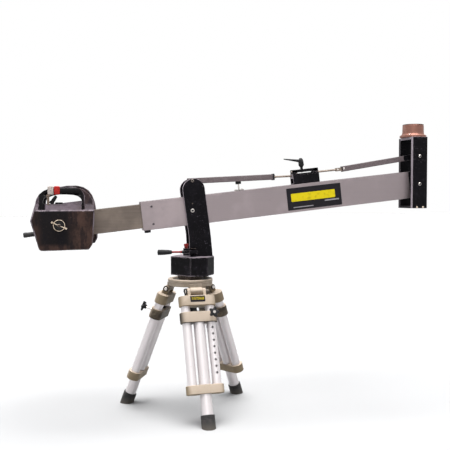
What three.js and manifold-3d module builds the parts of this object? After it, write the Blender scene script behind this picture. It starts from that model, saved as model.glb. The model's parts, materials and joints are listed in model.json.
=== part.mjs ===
// Camera jib crane on a short twin-tube tripod. Millimetres, +Z up, +X towards the camera head.
import * as THREE from 'three';
import { mergeVertices } from 'three/addons/utils/BufferGeometryUtils.js';
import Module from 'manifold-3d';

const wasm = await Module();
wasm.setup();

// Fits and fineness shared by the whole crane.
const fitGap = 0.3;
const slideGap = 0.4;
const cutOverrun = 1;
const mergeDistance = 1e-4;
const fineSides = 24;
const tubeSides = 16;
const pinSides = 12;
const knobSides = 12;
const drillSides = 8;
const cornerSteps = 1;
const arcSteps = 6;

// Stance: heights above the floor and the boom's pose in the photograph.
const pivotHeight = 840;
const pivotOffset = 3.5;
const boomElevation = THREE.MathUtils.degToRad(6.256);
const linkRise = 124.1;
const headPivotReach = 1028.9;

// Boom tube, its end boss and the bar that slides in its tail.
const boomHeight = 120;
const boomWidth = 60;
const boomWall = 5;
const boomCorner = 4;
const boomTail = 211;
const boomEndSetback = 31;
const endBossInsertion = 60;
const endBossNose = 27;
const endBossShoulder = 10;
const barHeight = 100;
const barWall = 4;
const barCorner = 3;
const barEngagement = 200;
const barReach = 600;
const barEndPlate = 5;
const gripRadius = 10.5;
const gripLength = 90;
const gripDrop = 21;
const gripStudRadius = 5;
const clampKnobRadius = 13.5;
const clampKnobHeight = 12;
const clampScrewRadius = 5;
const clampKnobInset = 19;

// Mast plates and their pivots.
const mastOuterHalfWidth = 41.6;
const mastPlateThickness = 10;
const mastTopRadius = 47;
const mastTopCentreX = 6;
const mastTopCentreZ = 87;
const mastWaistLeft = 15;
const mastWaistRight = 78;
const mastWaistDrop = 106;
const mastFootLeft = 11;
const mastFootRight = 86;
const mastFootDrop = 193;
const pivotBoltRadius = 6.5;
const pivotHeadRadius = 8;
const pivotHeadHeight = 3;
const pivotSocketRadius = 4;
const pivotSocketDepth = 2.5;
const linkPinRadius = 4;
const linkPinHeadRadius = 6.5;
const linkPinHeadHeight = 2.5;
const linkPinCollarRadius = 8;

// Six-sided pan block under the mast, with the upstand that the plates are bolted to.
const blockHeight = 79;
const blockHalfWidth = 93;
const blockOffset = 2.5;
const blockCornerShares = [[-0.22, -0.955], [0.56, -0.92], [1, -0.25], [0.75, 0.92], [-0.3, 0.955], [-0.955, 0.1]];
const upstandHeight = 30;
const upstandInset = 4;
const panAxleRadius = 20;
const panAxleHeight = 30;

// Pan brake on the near plate.
const brakeCentreX = -30;
const brakeCentreY = -58;
const brakeHubDrop = 171;
const brakeHubHeight = 30;
const brakeHubRadius = 13;
const brakeTabLength = 44;
const brakeTabHeight = 24;
const brakeRodRadius = 4;
const brakeRodReach = 60;
const brakeGripLength = 60;
const brakeGripRadius = 11.5;
const brakeGripRootRadius = 8;
const brakeEyeHeight = 10;
const brakeEyeRadius = 9;
const brakePinRadius = 3;
const brakePinStub = 8;
const dragKnobRadius = 10;
const dragKnobHeight = 19;

// Upper link with its two rods and the lock between them.
const linkTubeSize = 24;
const linkTubeWall = 2;
const linkTubeCorner = 3;
const linkTubeTail = 14;
const linkRodRadius = 4.25;
const linkCollarSize = 28;
const linkCollarLength = 8;
const linkPlugLength = 20;
const linkRodSeat = 12;
const rearTubeLength = 358;
const rearRodShown = 88;
const lockLength = 120;
const rearRodDrop = 25.7;
const frontRodDrop = 19.6;
const frontRodShown = 115;
const rodEndLength = 29;
const rodEndSize = 15;
const yokeHeight = 38;
const yokeLowerBar = 20;
const yokeUpperPlate = 12;
const yokeEndBlock = 24;
const yokeUpperWidth = 30;
const yokeTopDrop = 0.4;
const bracketOuterWidth = 44;
const bracketCheek = 4;
const bracketBase = 4;
const bracketHeight = 40;
const leverPlace = 49.5;
const leverHubRadius = 12;
const leverHubHeight = 49;
const leverHubCapShare = 0.9;
const leverHubTopShare = 0.42;
const leverNeckRadius = 6;
const leverNeckHeight = 8;
const leverArmLength = 80;
const leverArmRootRadius = 6.5;
const leverArmTipRadius = 2.4;
const leverArmRise = THREE.MathUtils.degToRad(12);
const leverScrewRadius = 4;
const leverScrewLength = 14;

// Rest post on top of the boom, behind the link.
const postPlace = 223;
const postSideStep = 20;
const postHeight = 42;
const postStemRadius = 3.3;
const postBaseLength = 40;
const postBaseWidth = 18;
const postBaseHeight = 5;
const postCapLength = 24;
const postCapWidth = 12;
const postCapHeight = 14;

// Camera head.
const headOuterHalfWidth = 67.9;
const headPlateThickness = 17;
const headPlateBack = 34.5;
const headPlateFront = 36.3;
const headBelowPivot = 108;
const headAbovePivot = 210.6;
const headCrossPlate = 10;
const headAxleRadius = 5;
const headAxleHeadRadius = 7;
const headAxleHeadHeight = 3;
const headAxleCollarRadius = 13;
const headLinkCollarRadius = 9;
const bowlFlangeRadius = 59;
const bowlFlangeHeight = 11;
const bowlBodyRadius = 47.5;
const bowlBodyHeight = 48;
const bowlInnerRadius = 37.5;
const bowlThroatRadius = 16;
const bowlSteps = 5;

// Balance weights and the bolt through them.
const weightThickness = 93;
const weightBoltInset = 55.5;
const weightBoltRise = 6;
const weightLeft = 110;
const weightRight = 137;
const weightBelow = 100;
const weightAbove = 153;
const weightRidge = 55;
const weightHandleThickness = 44;
const weightOpeningLeft = 62;
const weightOpeningRight = 90;
const weightOpeningBottom = 84;
const weightOpeningTop = 121;
const farWeightTurn = THREE.MathUtils.degToRad(7);
const farWeightShift = 18;
const crossBoltRadius = 6;
const crossBoltHeadRadius = 12;
const crossBoltHeadHeight = 8;
const crossBoltTip = 6;
const wingRingRadius = 23;
const wingRingWall = 4;
const wingRingHeight = 10;
const wingHubRadius = 10;
const wingHubHeight = 14;
const wingBarWidth = 7;
const wingEarStart = 24;
const wingReach = 33;
const wingEarHeight = 20;
const wingTurn = THREE.MathUtils.degToRad(-24);

// Tripod crown: ring, levelling ball and tie-down.
const ringDropFromPivot = 287;
const ringRadius = 95;
const ringHeight = 29;
const ringBoreTop = 76;
const ringBoreBottom = 62;
const ballRecess = 5;
const turntableRadius = 55;
const turntableNeckRadius = 50;
const turntableHeight = 13;
const tieStudRadius = 8;
const tieStudLength = 42;
const tieKnobRadius = 29;
const tieKnobHeight = 104;
const tieKnobSeat = 24;
const tieKnobCollar = 12;
const tieKnobNeckRadius = 25;

// Tripod legs, measured along the leg from its hinge pin.
const legAzimuths = {
  front: THREE.MathUtils.degToRad(-86),
  right: THREE.MathUtils.degToRad(34),
  left: THREE.MathUtils.degToRad(154),
};
const legSplay = THREE.MathUtils.degToRad(21);
const hingeRadius = 96;
const hingeDrop = 44;
const knuckleRadius = 14;
const knuckleWidth = 52;
const knuckleWebDepth = 12;
const hingePinRadius = 7.5;
const hingePinOverhang = 6;
const earThickness = 13;
const earRadius = 13;
const outerTubeSpacing = 101;
const outerTubeRadius = 18.5;
const outerTubeWall = 2;
const centreTubeRadius = 23;
const centreTubeWall = 2.5;
const castingWall = 8;
const hingeCastingStart = 22;
const hingeCastingHeight = 42;
const hingeCastingRoof = 6;
const clampCastingStart = 89;
const clampCastingHeight = 44;
const clampCastingRoof = 10;
const slidingCastingRadius = 27;
const lowerCastingLift = 165;
const lowerCastingHeight = 36;
const lowerCastingFloor = 8;
const indexPinInset = 14;
const indexHoleRadius = 4.5;
const indexHolePitch = 26;
const indexPinRadius = 3.8;
const starStemLength = 30;
const starRadius = 22.5;
const starLobeDepth = 3.4;
const starThickness = 13;
const starLobes = 5;
const starSides = 30;
const footRadius = 28;
const footLength = 49.5;
const footFloorWall = 9;

// Colours and finishes, as the photograph shows them.
function finish(colour, roughness, metalness) {
  return new THREE.MeshStandardMaterial({ color: colour, roughness, metalness });
}
const boomAluminium = finish(0x968a8c, 0.42, 0.85);
const barAluminium = finish(0x73685f, 0.5, 0.8);
const linkPaint = finish(0x5f5254, 0.5, 0.5);
const wornBlack = finish(0x18171b, 0.45, 0.3);
const blackPlastic = finish(0x141416, 0.4, 0);
const dustyPlastic = finish(0x2e2725, 0.75, 0);
const brightSteel = finish(0xc2bcb8, 0.28, 1);
const platedSteel = finish(0xa89c86, 0.35, 1);
const redPlastic = finish(0x8c1c1c, 0.45, 0);
const copperBrown = finish(0x8e6458, 0.4, 0.8);
const beigeCasting = finish(0xb4a493, 0.55, 0.35);
const brownDisc = finish(0x3a302a, 0.5, 0.5);
const silverTube = finish(0xc9c4c4, 0.3, 1);
const blackRubber = finish(0x1a1a1a, 0.85, 0);

// Joining and cutting of closed shapes.
function toSolid(geometry) {
  const bare = geometry.clone();
  bare.deleteAttribute('normal');
  bare.deleteAttribute('uv');
  const merged = mergeVertices(bare, mergeDistance);
  const vertProperties = new Float32Array(merged.attributes.position.array);
  const triVerts = new Uint32Array(merged.index.array);
  return new wasm.Manifold(new wasm.Mesh({ numProp: 3, vertProperties, triVerts }));
}

function toGeometry(solid) {
  const mesh = solid.getMesh();
  const geometry = new THREE.BufferGeometry();
  geometry.setAttribute('position', new THREE.BufferAttribute(mesh.vertProperties, 3));
  geometry.setIndex(new THREE.BufferAttribute(mesh.triVerts, 1));
  geometry.computeVertexNormals();
  return geometry;
}

function join(...geometries) {
  return toGeometry(geometries.map(toSolid).reduce((whole, next) => whole.add(next)));
}

function cut(geometry, ...tools) {
  return toGeometry(tools.map(toSolid).reduce((whole, tool) => whole.subtract(tool), toSolid(geometry)));
}

function common(geometry, other) {
  return toGeometry(toSolid(geometry).intersect(toSolid(other)));
}

// Simple shapes placed by their limits or by their axis.
function block(x0, x1, y0, y1, z0, z1) {
  const shape = new THREE.BoxGeometry(x1 - x0, y1 - y0, z1 - z0);
  return shape.translate((x0 + x1) / 2, (y0 + y1) / 2, (z0 + z1) / 2);
}

function rodZ(radius, z0, z1, sides, topRadius = radius) {
  const shape = new THREE.CylinderGeometry(topRadius, radius, z1 - z0, sides);
  return shape.rotateX(Math.PI / 2).translate(0, 0, (z0 + z1) / 2);
}

function rodY(radius, y0, y1, sides) {
  const shape = new THREE.CylinderGeometry(radius, radius, y1 - y0, sides);
  return shape.translate(0, (y0 + y1) / 2, 0);
}

function rodX(radius, x0, x1, sides, endRadius = radius) {
  const shape = new THREE.CylinderGeometry(endRadius, radius, x1 - x0, sides);
  return shape.rotateZ(-Math.PI / 2).translate((x0 + x1) / 2, 0, 0);
}

// The corner radius of a faceted bore that clears a round pin of the given radius by a gap.
function boreRadius(radius, gap, sides) {
  return (radius + gap) / Math.cos(Math.PI / sides);
}

// A turned shape about Z from radius and height pairs that go up its outside.
function turned(pairs, sides) {
  const points = pairs.map(([radius, height]) => new THREE.Vector2(radius, height));
  return new THREE.LatheGeometry(points, sides).rotateX(Math.PI / 2);
}

// A pipe along Z.
function pipeZ(radius, wall, z0, z1, sides) {
  const bore = radius - wall;
  return turned([[bore, z0], [radius, z0], [radius, z1], [bore, z1], [bore, z0]], sides);
}

function shapeOf(points) {
  return new THREE.Shape(points.map(([x, y]) => new THREE.Vector2(x, y)));
}

// The points of an outline, without the doubled ones where a line meets an arc.
function distinctPoints(path, steps) {
  const points = path.getPoints(steps);
  return points.filter((point, index) => {
    const next = points[(index + 1) % points.length];
    return point.distanceTo(next) > mergeDistance;
  });
}

// An outline in X and Y, given height from z0 to z1.
function upright(shape, z0, z1, steps = arcSteps) {
  const outline = new THREE.Shape(distinctPoints(shape, steps));
  outline.holes = shape.holes.map((hole) => new THREE.Path(distinctPoints(hole, steps)));
  const solid = new THREE.ExtrudeGeometry(outline, { depth: z1 - z0, bevelEnabled: false });
  return solid.translate(0, 0, z0);
}

// An outline in X and Z, given thickness from y0 to y1.
function sideways(shape, y0, y1, steps = arcSteps) {
  return upright(shape, 0, y1 - y0, steps).rotateX(Math.PI / 2).translate(0, y1, 0);
}

function roundedRectangle(halfWidth, halfHeight, corner) {
  const shape = new THREE.Shape();
  shape.moveTo(corner - halfWidth, -halfHeight);
  shape.lineTo(halfWidth - corner, -halfHeight);
  shape.absarc(halfWidth - corner, corner - halfHeight, corner, -Math.PI / 2, 0);
  shape.lineTo(halfWidth, halfHeight - corner);
  shape.absarc(halfWidth - corner, halfHeight - corner, corner, 0, Math.PI / 2);
  shape.lineTo(corner - halfWidth, halfHeight);
  shape.absarc(corner - halfWidth, halfHeight - corner, corner, Math.PI / 2, Math.PI);
  shape.lineTo(-halfWidth, corner - halfHeight);
  shape.absarc(corner - halfWidth, corner - halfHeight, corner, Math.PI, 1.5 * Math.PI);
  return shape;
}

function rectangle(halfWidth, halfHeight) {
  return shapeOf([
    [-halfWidth, -halfHeight],
    [halfWidth, -halfHeight],
    [halfWidth, halfHeight],
    [-halfWidth, halfHeight],
  ]);
}

// A rectangular tube along X.
function squareTube(width, height, wall, corner, x0, x1) {
  const outline = roundedRectangle(width / 2, height / 2, corner);
  outline.holes.push(rectangle(width / 2 - wall, height / 2 - wall));
  return lengthwise(outline, x0, x1, cornerSteps);
}

// An outline in Y and Z, given length from x0 to x1.
function lengthwise(shape, x0, x1, steps = arcSteps) {
  const solid = upright(shape, 0, x1 - x0, steps);
  return solid.rotateX(Math.PI / 2).rotateZ(Math.PI / 2).translate(x0, 0, 0);
}

// A bar with round ends along Y.
function stadium(halfSpacing, endRadius) {
  const shape = new THREE.Shape();
  shape.moveTo(endRadius, -halfSpacing);
  shape.lineTo(endRadius, halfSpacing);
  shape.absarc(0, halfSpacing, endRadius, 0, Math.PI);
  shape.lineTo(-endRadius, -halfSpacing);
  shape.absarc(0, -halfSpacing, endRadius, Math.PI, 2 * Math.PI);
  return shape;
}

// A hole in an outline for a pin of the given radius. An arc has two sides for each step.
function roundHole(x, y, pinRadius) {
  const radius = boreRadius(pinRadius, fitGap, 2 * arcSteps);
  return new THREE.Path().absarc(x, y, radius, 0, 2 * Math.PI, true);
}

const crane = new THREE.Group();

function addGroup(parent, x, y, z) {
  const group = new THREE.Group();
  group.position.set(x, y, z);
  parent.add(group);
  return group;
}

function addPiece(parent, name, geometry, material) {
  const mesh = new THREE.Mesh(geometry, material);
  mesh.name = name;
  parent.add(mesh);
  return mesh;
}

const mastFrame = addGroup(crane, pivotOffset, 0, pivotHeight);
const boomFrame = addGroup(crane, pivotOffset, 0, pivotHeight);
boomFrame.rotation.y = -boomElevation;
const linkFrame = addGroup(mastFrame, 0, 0, linkRise);
linkFrame.rotation.y = -boomElevation;
const headX = headPivotReach * Math.cos(boomElevation);
const headZ = headPivotReach * Math.sin(boomElevation);
const headFrame = addGroup(mastFrame, headX, 0, headZ);

// Tripod crown. Heights are taken from the top of the ring.
const ringTop = pivotHeight - ringDropFromPivot;
const hingeHeight = ringTop - hingeDrop;

// The ring that carries the levelling ball, with a knuckle and hinge pin for each leg under it.
function tripodRing() {
  const bored = turned([
    [ringBoreBottom, -ringHeight],
    [ringRadius, -ringHeight],
    [ringRadius, 0],
    [ringBoreTop, 0],
    [ringBoreBottom, -ringHeight],
  ], fineSides);
  const pinHalf = knuckleWidth / 2 + earThickness + hingePinOverhang;
  const knuckles = Object.values(legAzimuths).map((azimuth) => {
    const barrel = rodY(knuckleRadius, -knuckleWidth / 2, knuckleWidth / 2, tubeSides);
    const pin = rodY(hingePinRadius, -pinHalf, pinHalf, pinSides);
    const webBack = ringRadius - hingeRadius - knuckleWebDepth;
    const webFront = hingePinRadius;
    const web = block(webBack, webFront, -knuckleWidth / 2, knuckleWidth / 2, 0, hingeDrop - ringHeight / 2);
    const knuckle = join(barrel, pin, web).translate(hingeRadius, 0, -hingeDrop);
    return knuckle.rotateZ(azimuth);
  });
  return join(bored, ...knuckles);
}

// The levelling ball in the ring, with the pan turntable above it and the tie-down stud below.
function levellingBall() {
  const slope = (ringBoreTop - ringBoreBottom) / ringHeight;
  const turntableTop = ringDropFromPivot - mastFootDrop - blockHeight - fitGap;
  return turned([
    [0, -ringHeight - tieStudLength],
    [tieStudRadius, -ringHeight - tieStudLength],
    [tieStudRadius, -ringHeight],
    [ringBoreBottom - fitGap, -ringHeight],
    [ringBoreTop - ballRecess * slope - fitGap, -ballRecess],
    [turntableNeckRadius, -ballRecess],
    [turntableNeckRadius, turntableTop - turntableHeight],
    [turntableRadius, turntableTop - turntableHeight],
    [turntableRadius, turntableTop],
    [panAxleRadius, turntableTop],
    [panAxleRadius, turntableTop + panAxleHeight],
    [0, turntableTop + panAxleHeight],
  ], fineSides);
}

function tieDownKnob() {
  const top = tieKnobSeat - ringHeight - tieStudLength;
  const knob = turned([
    [0, top - tieKnobHeight],
    [tieKnobNeckRadius, top - tieKnobHeight],
    [tieKnobRadius, top - tieKnobHeight + tieKnobCollar],
    [tieKnobNeckRadius, top - 2 * tieKnobCollar],
    [tieKnobRadius, top - tieKnobCollar],
    [tieKnobRadius, top],
    [0, top],
  ], fineSides);
  const boreFace = boreRadius(tieStudRadius, fitGap, pinSides);
  const bore = rodZ(boreFace, top - tieKnobSeat - fitGap, top + cutOverrun, pinSides);
  return cut(knob, bore);
}

const crown = addGroup(crane, 0, 0, ringTop);
addPiece(crown, 'tripod_ring', tripodRing(), beigeCasting);
addPiece(crown, 'levelling_ball', levellingBall(), brownDisc);
addPiece(crown, 'tie_down_knob', tieDownKnob(), blackPlastic);

// Tripod legs. In a leg's frame X points outward, Y along its hinge pin and Z up the leg.
const tubeOffset = outerTubeSpacing / 2;
const floorPlace = hingeHeight / Math.cos(legSplay);
const footStart = floorPlace - footLength;
const lowerCastingStart = floorPlace - lowerCastingLift;
const indexPlace = clampCastingStart + indexPinInset;
const indexHoleCount = Math.floor((lowerCastingStart - indexPlace) / indexHolePitch);
const outerTubeTop = hingeCastingStart + hingeCastingRoof + fitGap;
const outerTubeBottom = lowerCastingStart + lowerCastingHeight - lowerCastingFloor - fitGap;
const centreTubeBottom = floorPlace - footRadius * Math.tan(legSplay) - footFloorWall;
const centreTubeTop = clampCastingStart + clampCastingRoof + fitGap;

// The tools for the two outer tubes' bores, from z0 to z1.
function twinBores(gap, z0, z1) {
  const radius = boreRadius(outerTubeRadius, gap, tubeSides);
  const left = rodZ(radius, z0, z1, tubeSides).translate(0, -tubeOffset, 0);
  const right = rodZ(radius, z0, z1, tubeSides).translate(0, tubeOffset, 0);
  return [left, right];
}

function hingeCasting() {
  const body = upright(
    stadium(tubeOffset, outerTubeRadius + castingWall),
    -hingeCastingStart - hingeCastingHeight,
    -hingeCastingStart,
    arcSteps / 2,
  );
  const earStart = knuckleWidth / 2 + fitGap;
  const ears = [-1, 1].map((side) => {
    const inner = side * earStart;
    const outer = side * (earStart + earThickness);
    const y0 = Math.min(inner, outer);
    const y1 = Math.max(inner, outer);
    const post = block(-earRadius, earRadius, y0, y1, -hingeCastingStart - hingeCastingRoof, 0);
    return join(post, rodY(earRadius, y0, y1, tubeSides));
  });
  const half = earStart + earThickness + cutOverrun;
  const pinHole = rodY(boreRadius(hingePinRadius, fitGap, pinSides), -half, half, pinSides);
  const boreTop = -hingeCastingStart - hingeCastingRoof;
  const boreBottom = -hingeCastingStart - hingeCastingHeight - cutOverrun;
  return cut(join(body, ...ears), pinHole, ...twinBores(fitGap, boreBottom, boreTop));
}

function outerTube(side, drilled) {
  const tube = pipeZ(outerTubeRadius, outerTubeWall, -outerTubeBottom, -outerTubeTop, tubeSides);
  if (!drilled) {
    return tube.translate(0, side * tubeOffset, 0);
  }
  const holes = [];
  for (let index = 0; index < indexHoleCount; index += 1) {
    const z = -indexPlace - index * indexHolePitch;
    const drill = rodX(indexHoleRadius, outerTubeRadius / 2, outerTubeRadius + cutOverrun, drillSides);
    holes.push(drill.translate(0, 0, z));
  }
  return cut(tube, ...holes).translate(0, side * tubeOffset, 0);
}

// The casting on top of the centre tube, which slides down the outer tubes.
function clampCasting() {
  const bottom = -clampCastingStart - clampCastingHeight;
  const body = upright(stadium(tubeOffset, slidingCastingRadius), bottom, -clampCastingStart, arcSteps / 2);
  const over = cutOverrun;
  const bores = twinBores(slideGap, bottom - over, over - clampCastingStart);
  const socketTop = -clampCastingStart - clampCastingRoof;
  const socket = rodZ(centreTubeRadius + fitGap, bottom - over, socketTop, tubeSides);
  const pinBore = boreRadius(indexPinRadius, fitGap, pinSides);
  const pinHole = rodX(pinBore, outerTubeRadius / 2, slidingCastingRadius + over, pinSides);
  return cut(body, ...bores, socket, pinHole.translate(0, tubeOffset, -indexPlace));
}

// The casting that ties the outer tubes' lower ends and guides the centre tube.
function lowerCasting() {
  const bottom = -lowerCastingStart - lowerCastingHeight;
  const body = upright(stadium(tubeOffset, slidingCastingRadius), bottom, -lowerCastingStart, arcSteps / 2);
  const over = cutOverrun;
  const seats = twinBores(fitGap, bottom + lowerCastingFloor, over - lowerCastingStart);
  const guide = rodZ(centreTubeRadius + slideGap, bottom - over, over - lowerCastingStart, tubeSides);
  return cut(body, ...seats, guide);
}

function centreTube() {
  return pipeZ(centreTubeRadius, centreTubeWall, -centreTubeBottom, -centreTubeTop, tubeSides);
}

// A rubber boot, cut flat where it stands on the floor.
function foot() {
  const boot = rodZ(footRadius, -floorPlace - footRadius, -footStart, fineSides);
  const bore = rodZ(centreTubeRadius + fitGap, -centreTubeBottom - fitGap, cutOverrun - footStart, tubeSides);
  const reach = floorPlace;
  const aboveFloor = block(-reach, reach, -reach, reach, 0, reach);
  aboveFloor.rotateY(legSplay).translate(0, 0, -floorPlace);
  return common(cut(boot, bore), aboveFloor);
}

// The star knob of the index pin, drawn clear of the tube so that the casting can slide.
function starKnob() {
  const outline = [];
  for (let step = 0; step < starSides; step += 1) {
    const angle = (2 * Math.PI * step) / starSides;
    const radius = starRadius - starLobeDepth * (1 - Math.cos(starLobes * angle));
    outline.push([radius * Math.cos(angle), radius * Math.sin(angle)]);
  }
  const headStart = slidingCastingRadius + starStemLength;
  const head = lengthwise(shapeOf(outline), headStart, headStart + starThickness);
  const pin = rodX(indexPinRadius, outerTubeRadius + 2 * slideGap, headStart + starThickness / 2, pinSides);
  return join(head, pin).translate(0, tubeOffset, -indexPlace);
}

for (const [side, azimuth] of Object.entries(legAzimuths)) {
  const turn = addGroup(crane, 0, 0, hingeHeight);
  turn.rotation.z = azimuth;
  const leg = addGroup(turn, hingeRadius, 0, 0);
  leg.rotation.y = -legSplay;
  addPiece(leg, `${side}_leg_hinge_casting`, hingeCasting(), beigeCasting);
  addPiece(leg, `${side}_leg_plain_tube`, outerTube(-1, false), silverTube);
  addPiece(leg, `${side}_leg_index_tube`, outerTube(1, true), silverTube);
  addPiece(leg, `${side}_leg_lower_casting`, lowerCasting(), beigeCasting);
  addPiece(leg, `${side}_leg_clamp_casting`, clampCasting(), beigeCasting);
  addPiece(leg, `${side}_leg_centre_tube`, centreTube(), silverTube);
  addPiece(leg, `${side}_leg_foot`, foot(), blackRubber);
  addPiece(leg, `${side}_leg_star_knob`, starKnob(), blackPlastic);
}

// Pan block. Its outline follows the six corners seen from above.
function panBlock() {
  const corners = blockCornerShares.map(([shareX, shareY]) => [
    blockOffset + shareX * blockHalfWidth,
    shareY * blockHalfWidth,
  ]);
  const bottom = -mastFootDrop - blockHeight;
  const body = upright(shapeOf(corners), bottom, -mastFootDrop);
  const upstandHalf = mastOuterHalfWidth - mastPlateThickness - fitGap;
  const upstand = block(
    upstandInset - mastFootLeft,
    mastFootRight - upstandInset,
    -upstandHalf,
    upstandHalf,
    -mastFootDrop - upstandHeight,
    upstandHeight - mastFootDrop,
  );
  const boreFace = boreRadius(panAxleRadius, fitGap, fineSides);
  const bore = rodZ(boreFace, bottom - cutOverrun, bottom + panAxleHeight, fineSides);
  return cut(join(body, upstand), bore.translate(-pivotOffset, 0, 0));
}

function mastPlate(y0) {
  const shape = new THREE.Shape();
  shape.moveTo(-mastFootLeft, fitGap - mastFootDrop);
  shape.lineTo(mastFootRight, fitGap - mastFootDrop);
  shape.lineTo(mastWaistRight, -mastWaistDrop);
  shape.lineTo(mastTopCentreX + mastTopRadius, mastTopCentreZ);
  shape.absarc(mastTopCentreX, mastTopCentreZ, mastTopRadius, 0, Math.PI);
  shape.lineTo(-mastWaistLeft, -mastWaistDrop);
  shape.holes.push(roundHole(0, 0, pivotBoltRadius));
  shape.holes.push(roundHole(0, linkRise, linkPinRadius));
  return sideways(shape, y0, y0 + mastPlateThickness);
}

// A shoulder bolt through a mast plate into the boom's side, with a socket in its head.
function pivotBolt(side) {
  const inner = boomWidth / 2 - boomWall + fitGap;
  const seat = mastOuterHalfWidth + fitGap;
  const bolt = turned([
    [0, inner],
    [pivotBoltRadius, inner],
    [pivotBoltRadius, seat],
    [pivotHeadRadius, seat],
    [pivotHeadRadius, seat + pivotHeadHeight],
    [pivotSocketRadius, seat + pivotHeadHeight],
    [pivotSocketRadius, seat + pivotHeadHeight - pivotSocketDepth],
    [0, seat + pivotHeadHeight - pivotSocketDepth],
  ], tubeSides);
  return bolt.rotateX((-side * Math.PI) / 2);
}

// A pin through two plates and a link's eye, with a head at each end and spacers beside the eye.
function spacedPin(radius, collarRadius, eyeHalf, plateInner, plateOuter, headRadius, headHeight) {
  const eye = eyeHalf + fitGap;
  const inner = plateInner - fitGap;
  const seat = plateOuter + fitGap;
  const end = seat + headHeight;
  const pin = turned([
    [0, -end],
    [headRadius, -end],
    [headRadius, -seat],
    [radius, -seat],
    [radius, -inner],
    [collarRadius, -inner],
    [collarRadius, -eye],
    [radius, -eye],
    [radius, eye],
    [collarRadius, eye],
    [collarRadius, inner],
    [radius, inner],
    [radius, seat],
    [headRadius, seat],
    [headRadius, end],
    [0, end],
  ], knobSides);
  return pin.rotateX(Math.PI / 2);
}

function mastLinkPin() {
  const inner = mastOuterHalfWidth - mastPlateThickness;
  const eyeHalf = linkTubeSize / 2;
  const headSize = [linkPinHeadRadius, linkPinHeadHeight];
  return spacedPin(linkPinRadius, linkPinCollarRadius, eyeHalf, inner, mastOuterHalfWidth, ...headSize);
}

// Pan brake: a forked hub on the near plate, its lever, and the drag knob on the hub's pin.
function brakeHub() {
  const halfHeight = brakeHubHeight / 2;
  const hub = rodZ(brakeHubRadius, -halfHeight, halfHeight, knobSides);
  const plateFace = -mastOuterHalfWidth - fitGap - brakeCentreY;
  const tab = block(0, brakeTabLength, 0, plateFace, -brakeTabHeight / 2, brakeTabHeight / 2);
  const slotHalf = brakeEyeHeight / 2 + fitGap;
  const slotReach = brakeEyeRadius + fitGap;
  const slot = block(-brakeTabLength, slotReach, -brakeTabLength, slotReach, -slotHalf, slotHalf);
  const pin = rodZ(brakePinRadius, -halfHeight, halfHeight + brakePinStub, pinSides);
  return join(cut(join(hub, tab), slot), pin);
}

function brakeLever() {
  const half = brakeEyeHeight / 2;
  const eye = rodZ(brakeEyeRadius, -half, half, knobSides);
  const rod = rodX(brakeRodRadius, -brakeRodReach - cutOverrun, -brakePinRadius - brakeRodRadius, pinSides);
  const gripEnd = -brakeRodReach - brakeGripLength;
  const grip = rodX(brakeGripRadius, gripEnd, -brakeRodReach, knobSides, brakeGripRootRadius);
  const bore = rodZ(boreRadius(brakePinRadius, fitGap, pinSides), -half - cutOverrun, half + cutOverrun, pinSides);
  return cut(join(eye, rod, grip), bore);
}

function dragKnob() {
  const bottom = brakeHubHeight / 2 + fitGap;
  const knob = rodZ(dragKnobRadius, bottom, bottom + dragKnobHeight, knobSides);
  const boreFace = boreRadius(brakePinRadius, fitGap, pinSides);
  const bore = rodZ(boreFace, bottom - cutOverrun, bottom + brakePinStub, pinSides);
  return cut(knob, bore);
}

addPiece(mastFrame, 'pan_block', panBlock(), wornBlack);
addPiece(mastFrame, 'mast_plate_near', mastPlate(-mastOuterHalfWidth), wornBlack);
addPiece(mastFrame, 'mast_plate_far', mastPlate(mastOuterHalfWidth - mastPlateThickness), wornBlack);
addPiece(mastFrame, 'boom_pivot_bolt_near', pivotBolt(-1), brightSteel);
addPiece(mastFrame, 'boom_pivot_bolt_far', pivotBolt(1), brightSteel);
addPiece(addGroup(mastFrame, 0, 0, linkRise), 'link_pin_mast', mastLinkPin(), brightSteel);
const brakeFrame = addGroup(mastFrame, brakeCentreX, brakeCentreY, -brakeHubDrop);
addPiece(brakeFrame, 'pan_brake_hub', brakeHub(), wornBlack);
addPiece(brakeFrame, 'pan_brake_lever', brakeLever(), blackPlastic);
addPiece(brakeFrame, 'pan_drag_knob', dragKnob(), redPlastic);

// Boom. X runs along the tube from the main pivot to the head.
const boomFront = headPivotReach - boomEndSetback;
const clampKnobX = clampKnobInset - boomTail;
const lockStart = rearTubeLength + rearRodShown;
const frontTubeStart = lockStart + lockLength + frontRodShown;

function boomTube() {
  const tube = squareTube(boomWidth, boomHeight, boomWall, boomCorner, -boomTail, boomFront);
  const half = boomWidth / 2 + cutOverrun;
  const pivotHole = rodY(boreRadius(pivotBoltRadius, fitGap, tubeSides), -half, half, tubeSides);
  const screwBore = boreRadius(clampScrewRadius, fitGap, pinSides);
  const wallTop = boomWall - boomHeight / 2;
  const screwHole = rodZ(screwBore, -boomHeight, wallTop + cutOverrun, pinSides);
  return cut(tube, pivotHole, screwHole.translate(clampKnobX, 0, 0));
}

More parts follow.
